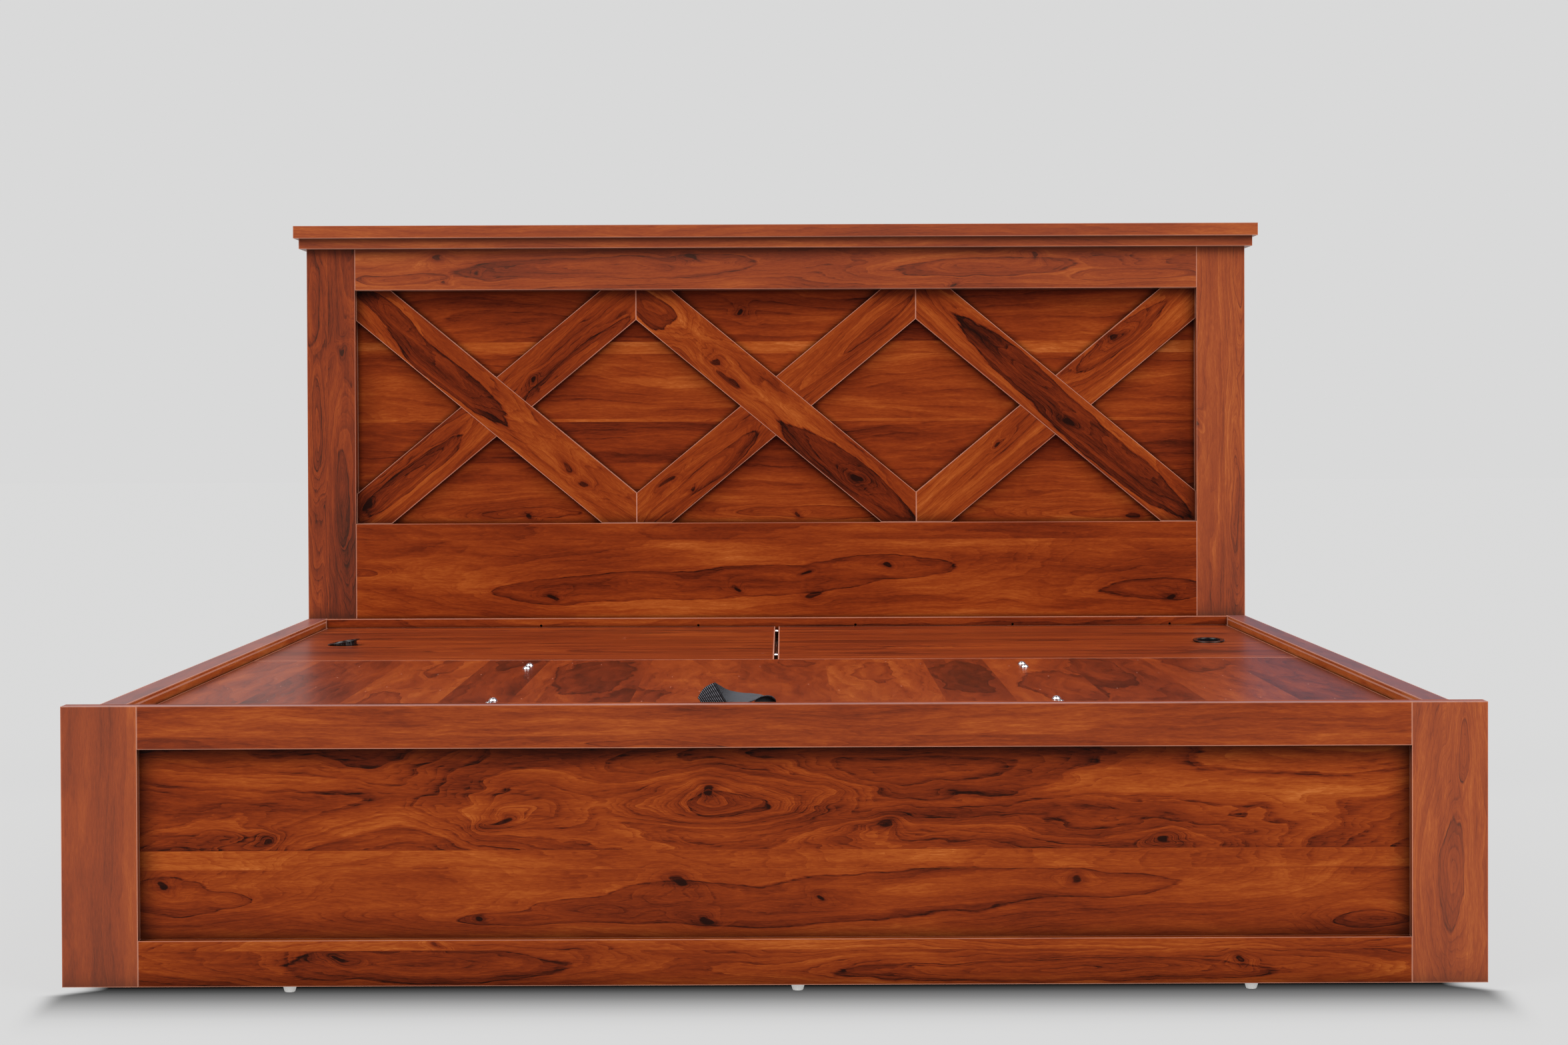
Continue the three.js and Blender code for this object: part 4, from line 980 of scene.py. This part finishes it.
def webbing_finish():
    """Black woven polypropylene: grey-tipped ribs on the face, painted shade along one edge, and plain weave on the
    back.
    """
    made, shader, wire = material("webbing")
    layout = wire.node("ShaderNodeTexCoord", out="UV")
    across, along = layout.dot((1, 0, 0)), layout.dot((0, 1, 0))
    back = across.rise(0.06, 0.065)
    rib = (across * (RIB_COUNT / WEBBING_WIDTH)).maths("FRACT")
    crest = 1 - ((rib - 0.5).maths("ABSOLUTE") * 2.0).rise(0.0, 0.55)
    weft = ((along * 900.0).maths("SINE") * 0.5 + 0.5) * 0.6 + 0.4
    sockets = {"Vector": layout, "Scale": 1500.0, "Detail": 2.0}
    speckle = wire.node("ShaderNodeTexNoise", {"noise_dimensions": "3D"}, sockets)
    # Painted shade: a dark band along one edge of the ribbed face.
    edge_shade = (across - 0.041).rise(0.0, 0.002) * (1 - back)
    light = crest * weft * (1 - back) * (1 - edge_shade * 0.8) + back * (speckle.rise(0.45, 0.62) * 0.5 + 0.1)
    light = light * (1 - along.rise(0.216, 0.224) * 0.85)  # inside the arch little light reaches it
    colour = (light * (speckle * 1.3 + 0.35)).clamped().blend(srgb(12, 12, 15), srgb(138, 140, 148))
    height = crest * weft + speckle * 0.4
    relief = wire.node("ShaderNodeBump", None, {"Strength": 0.4, "Distance": 0.0003, "Height": height})
    feed(shader, Base_Color=colour, Roughness=0.8 - crest * 0.1, Normal=relief, Specular_IOR_Level=0.15)
    return made


strap = piece("pull_strap_webbing", strap_mesh(), webbing_finish(), 60)
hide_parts("pull_strap")
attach(strap, "lid")
print("strap is off its model by mm", off_by(strap, "pull_strap"))

# %% [markdown]
# ## Floor and light
# The bed stands on a plain pale floor in even grey surroundings. Two wide soft lights, one from each side in front,
# do what a studio's softboxes do: they light the front boards evenly and leave a soft shadow inside each recess. The
# surroundings look one way to the camera, another to the boards they light from above, and a third in reflections,
# where two bright fields stand for the softboxes.
#
# The floor has to be as pale as the surroundings and still take a shadow. A white floor in this light would be
# brighter near the bed than far off. So the floor gives off most of its own light, and the soft shadow round the
# bed's outline is a ramp on the distance from that outline.

# %% Floor
PALE = srgb(217, 217, 217)
FLOOR_WHITE = 0.05
FLOOR_GLOW = 0.632
# The floor's light against the distance from the bed's outline, as a share of SHADOW_REACH.
SHADOW = [(0.0, 0.0), (0.03, 0.02), (0.06, 0.06), (0.105, 0.12), (0.18, 0.24), (0.255, 0.35), (0.33, 0.49),
          (0.405, 0.62), (0.48, 0.74), (0.555, 0.83), (0.63, 0.91), (0.71, 0.95), (0.79, 0.98), (0.95, 1.0)]
SHADOW_REACH = 0.4
# Beside the bed the distance counts for more, so the shadow is narrow there. The footboard is wider than the box.
SIDE_FADE = 7.0
BOX_HALF_WIDTH, FOOT_OVERHANG, HALF_LENGTH = 0.948, 0.044, 1.01
FOOT_START, FOOT_END = -1.03, -1.09
floor_mesh = bpy.data.meshes.new("floor")
floor_mesh.from_pydata([(-40, -40, 0), (40, -40, 0), (40, 40, 0), (-40, 40, 0)], [], [(0, 1, 2, 3)])
floor = bpy.data.objects.new("floor", floor_mesh)
bpy.context.scene.collection.objects.link(floor)
floor_finish, shader, wire = material("pale_floor")
place = wire.node("ShaderNodeTexCoord", out="Object")
half_width = (1 - place.dot((0, 1, 0)).rise(FOOT_END, FOOT_START)) * FOOT_OVERHANG + BOX_HALF_WIDTH
beside = (place.dot((1, 0, 0)).maths("ABSOLUTE") - half_width).maths("MAXIMUM", 0.0) * SIDE_FADE
before = (place.dot((0, 1, 0)).maths("ABSOLUTE") - HALF_LENGTH).maths("MAXIMUM", 0.0)
away = (beside * beside + before * before).maths("SQRT") / SHADOW_REACH
shadow = wire.node("ShaderNodeValToRGB", {"stops": [(at, (c, c, c, 1.0)) for at, c in SHADOW]}, {0: away})
white, glow = (
    shadow.node("ShaderNodeMix", {"data_type": "RGBA", "blend_type": "MULTIPLY"},
                {0: 1.0, 6: shadow, 7: (level, level, level, 1.0)}, out=2)
    for level in (FLOOR_WHITE, FLOOR_GLOW))
feed(shader, Base_Color=white, Roughness=1.0, Specular_IOR_Level=0.0, Emission_Color=glow, Emission_Strength=1.0)
floor_mesh.materials.append(floor_finish)

# %% Surroundings and lights
world = bpy.data.worlds.new("surroundings")
bpy.context.scene.world = world
world.use_nodes = True
sky = Wire(world.node_tree)
camera_ray = sky.node("ShaderNodeLightPath", out="Is Camera Ray")
glossy_ray = sky.node("ShaderNodeLightPath", out="Is Glossy Ray")
way = sky.node("ShaderNodeTexCoord", out="Generated")
overhead = way.dot((0, 0, 1)).rise(-0.1, 0.9).blend((0.52, 0.52, 0.53, 1.0), (1.05, 1.04, 1.02, 1.0))
behind = way.dot((1, 0, 0)).rise(-0.1, 0.1).blend((0.42, 0.31, 0.30, 1.0), (0.22, 0.175, 0.22, 1.0))
mirrored = way.dot((0, 1, 0)).rise(0.0, 0.6).blend((0.06, 0.06, 0.065, 1.0), behind)
for side in (-1, 1):
    lamp = way.dot(Vector((0.60 * side, -0.52, 0.61))).rise(0.80, 0.88)
    mirrored = lamp.blend(mirrored, (3.0, 3.0, 3.0, 1.0))
light = camera_ray.blend(glossy_ray.blend(overhead, mirrored), PALE)
background = world.node_tree.nodes["Background"]
world.node_tree.links.new(light.socket, background.inputs["Color"])
background.inputs["Strength"].default_value = 1.0


def soft_sun(name, azimuth, height, strength, spread=28):
    """A wide, even light from the front: azimuth in degrees to the right of the camera, height above level."""
    data = bpy.data.lights.new(name, "SUN")
    data.energy = strength
    data.angle = math.radians(spread)
    made = bpy.data.objects.new(name, data)
    turn, lift = math.radians(azimuth), math.radians(height)
    towards = Vector((math.sin(turn) * math.cos(lift), -math.cos(turn) * math.cos(lift), math.sin(lift)))
    made.rotation_euler = towards.to_track_quat("Z", "Y").to_euler()
    bpy.context.scene.collection.objects.link(made)


soft_sun("left_light", azimuth=-50, height=38, strength=1.05)
soft_sun("right_light", azimuth=50, height=38, strength=1.05)
bpy.context.scene.view_settings.view_transform = "Standard"
print("floor, surroundings and two soft lights")
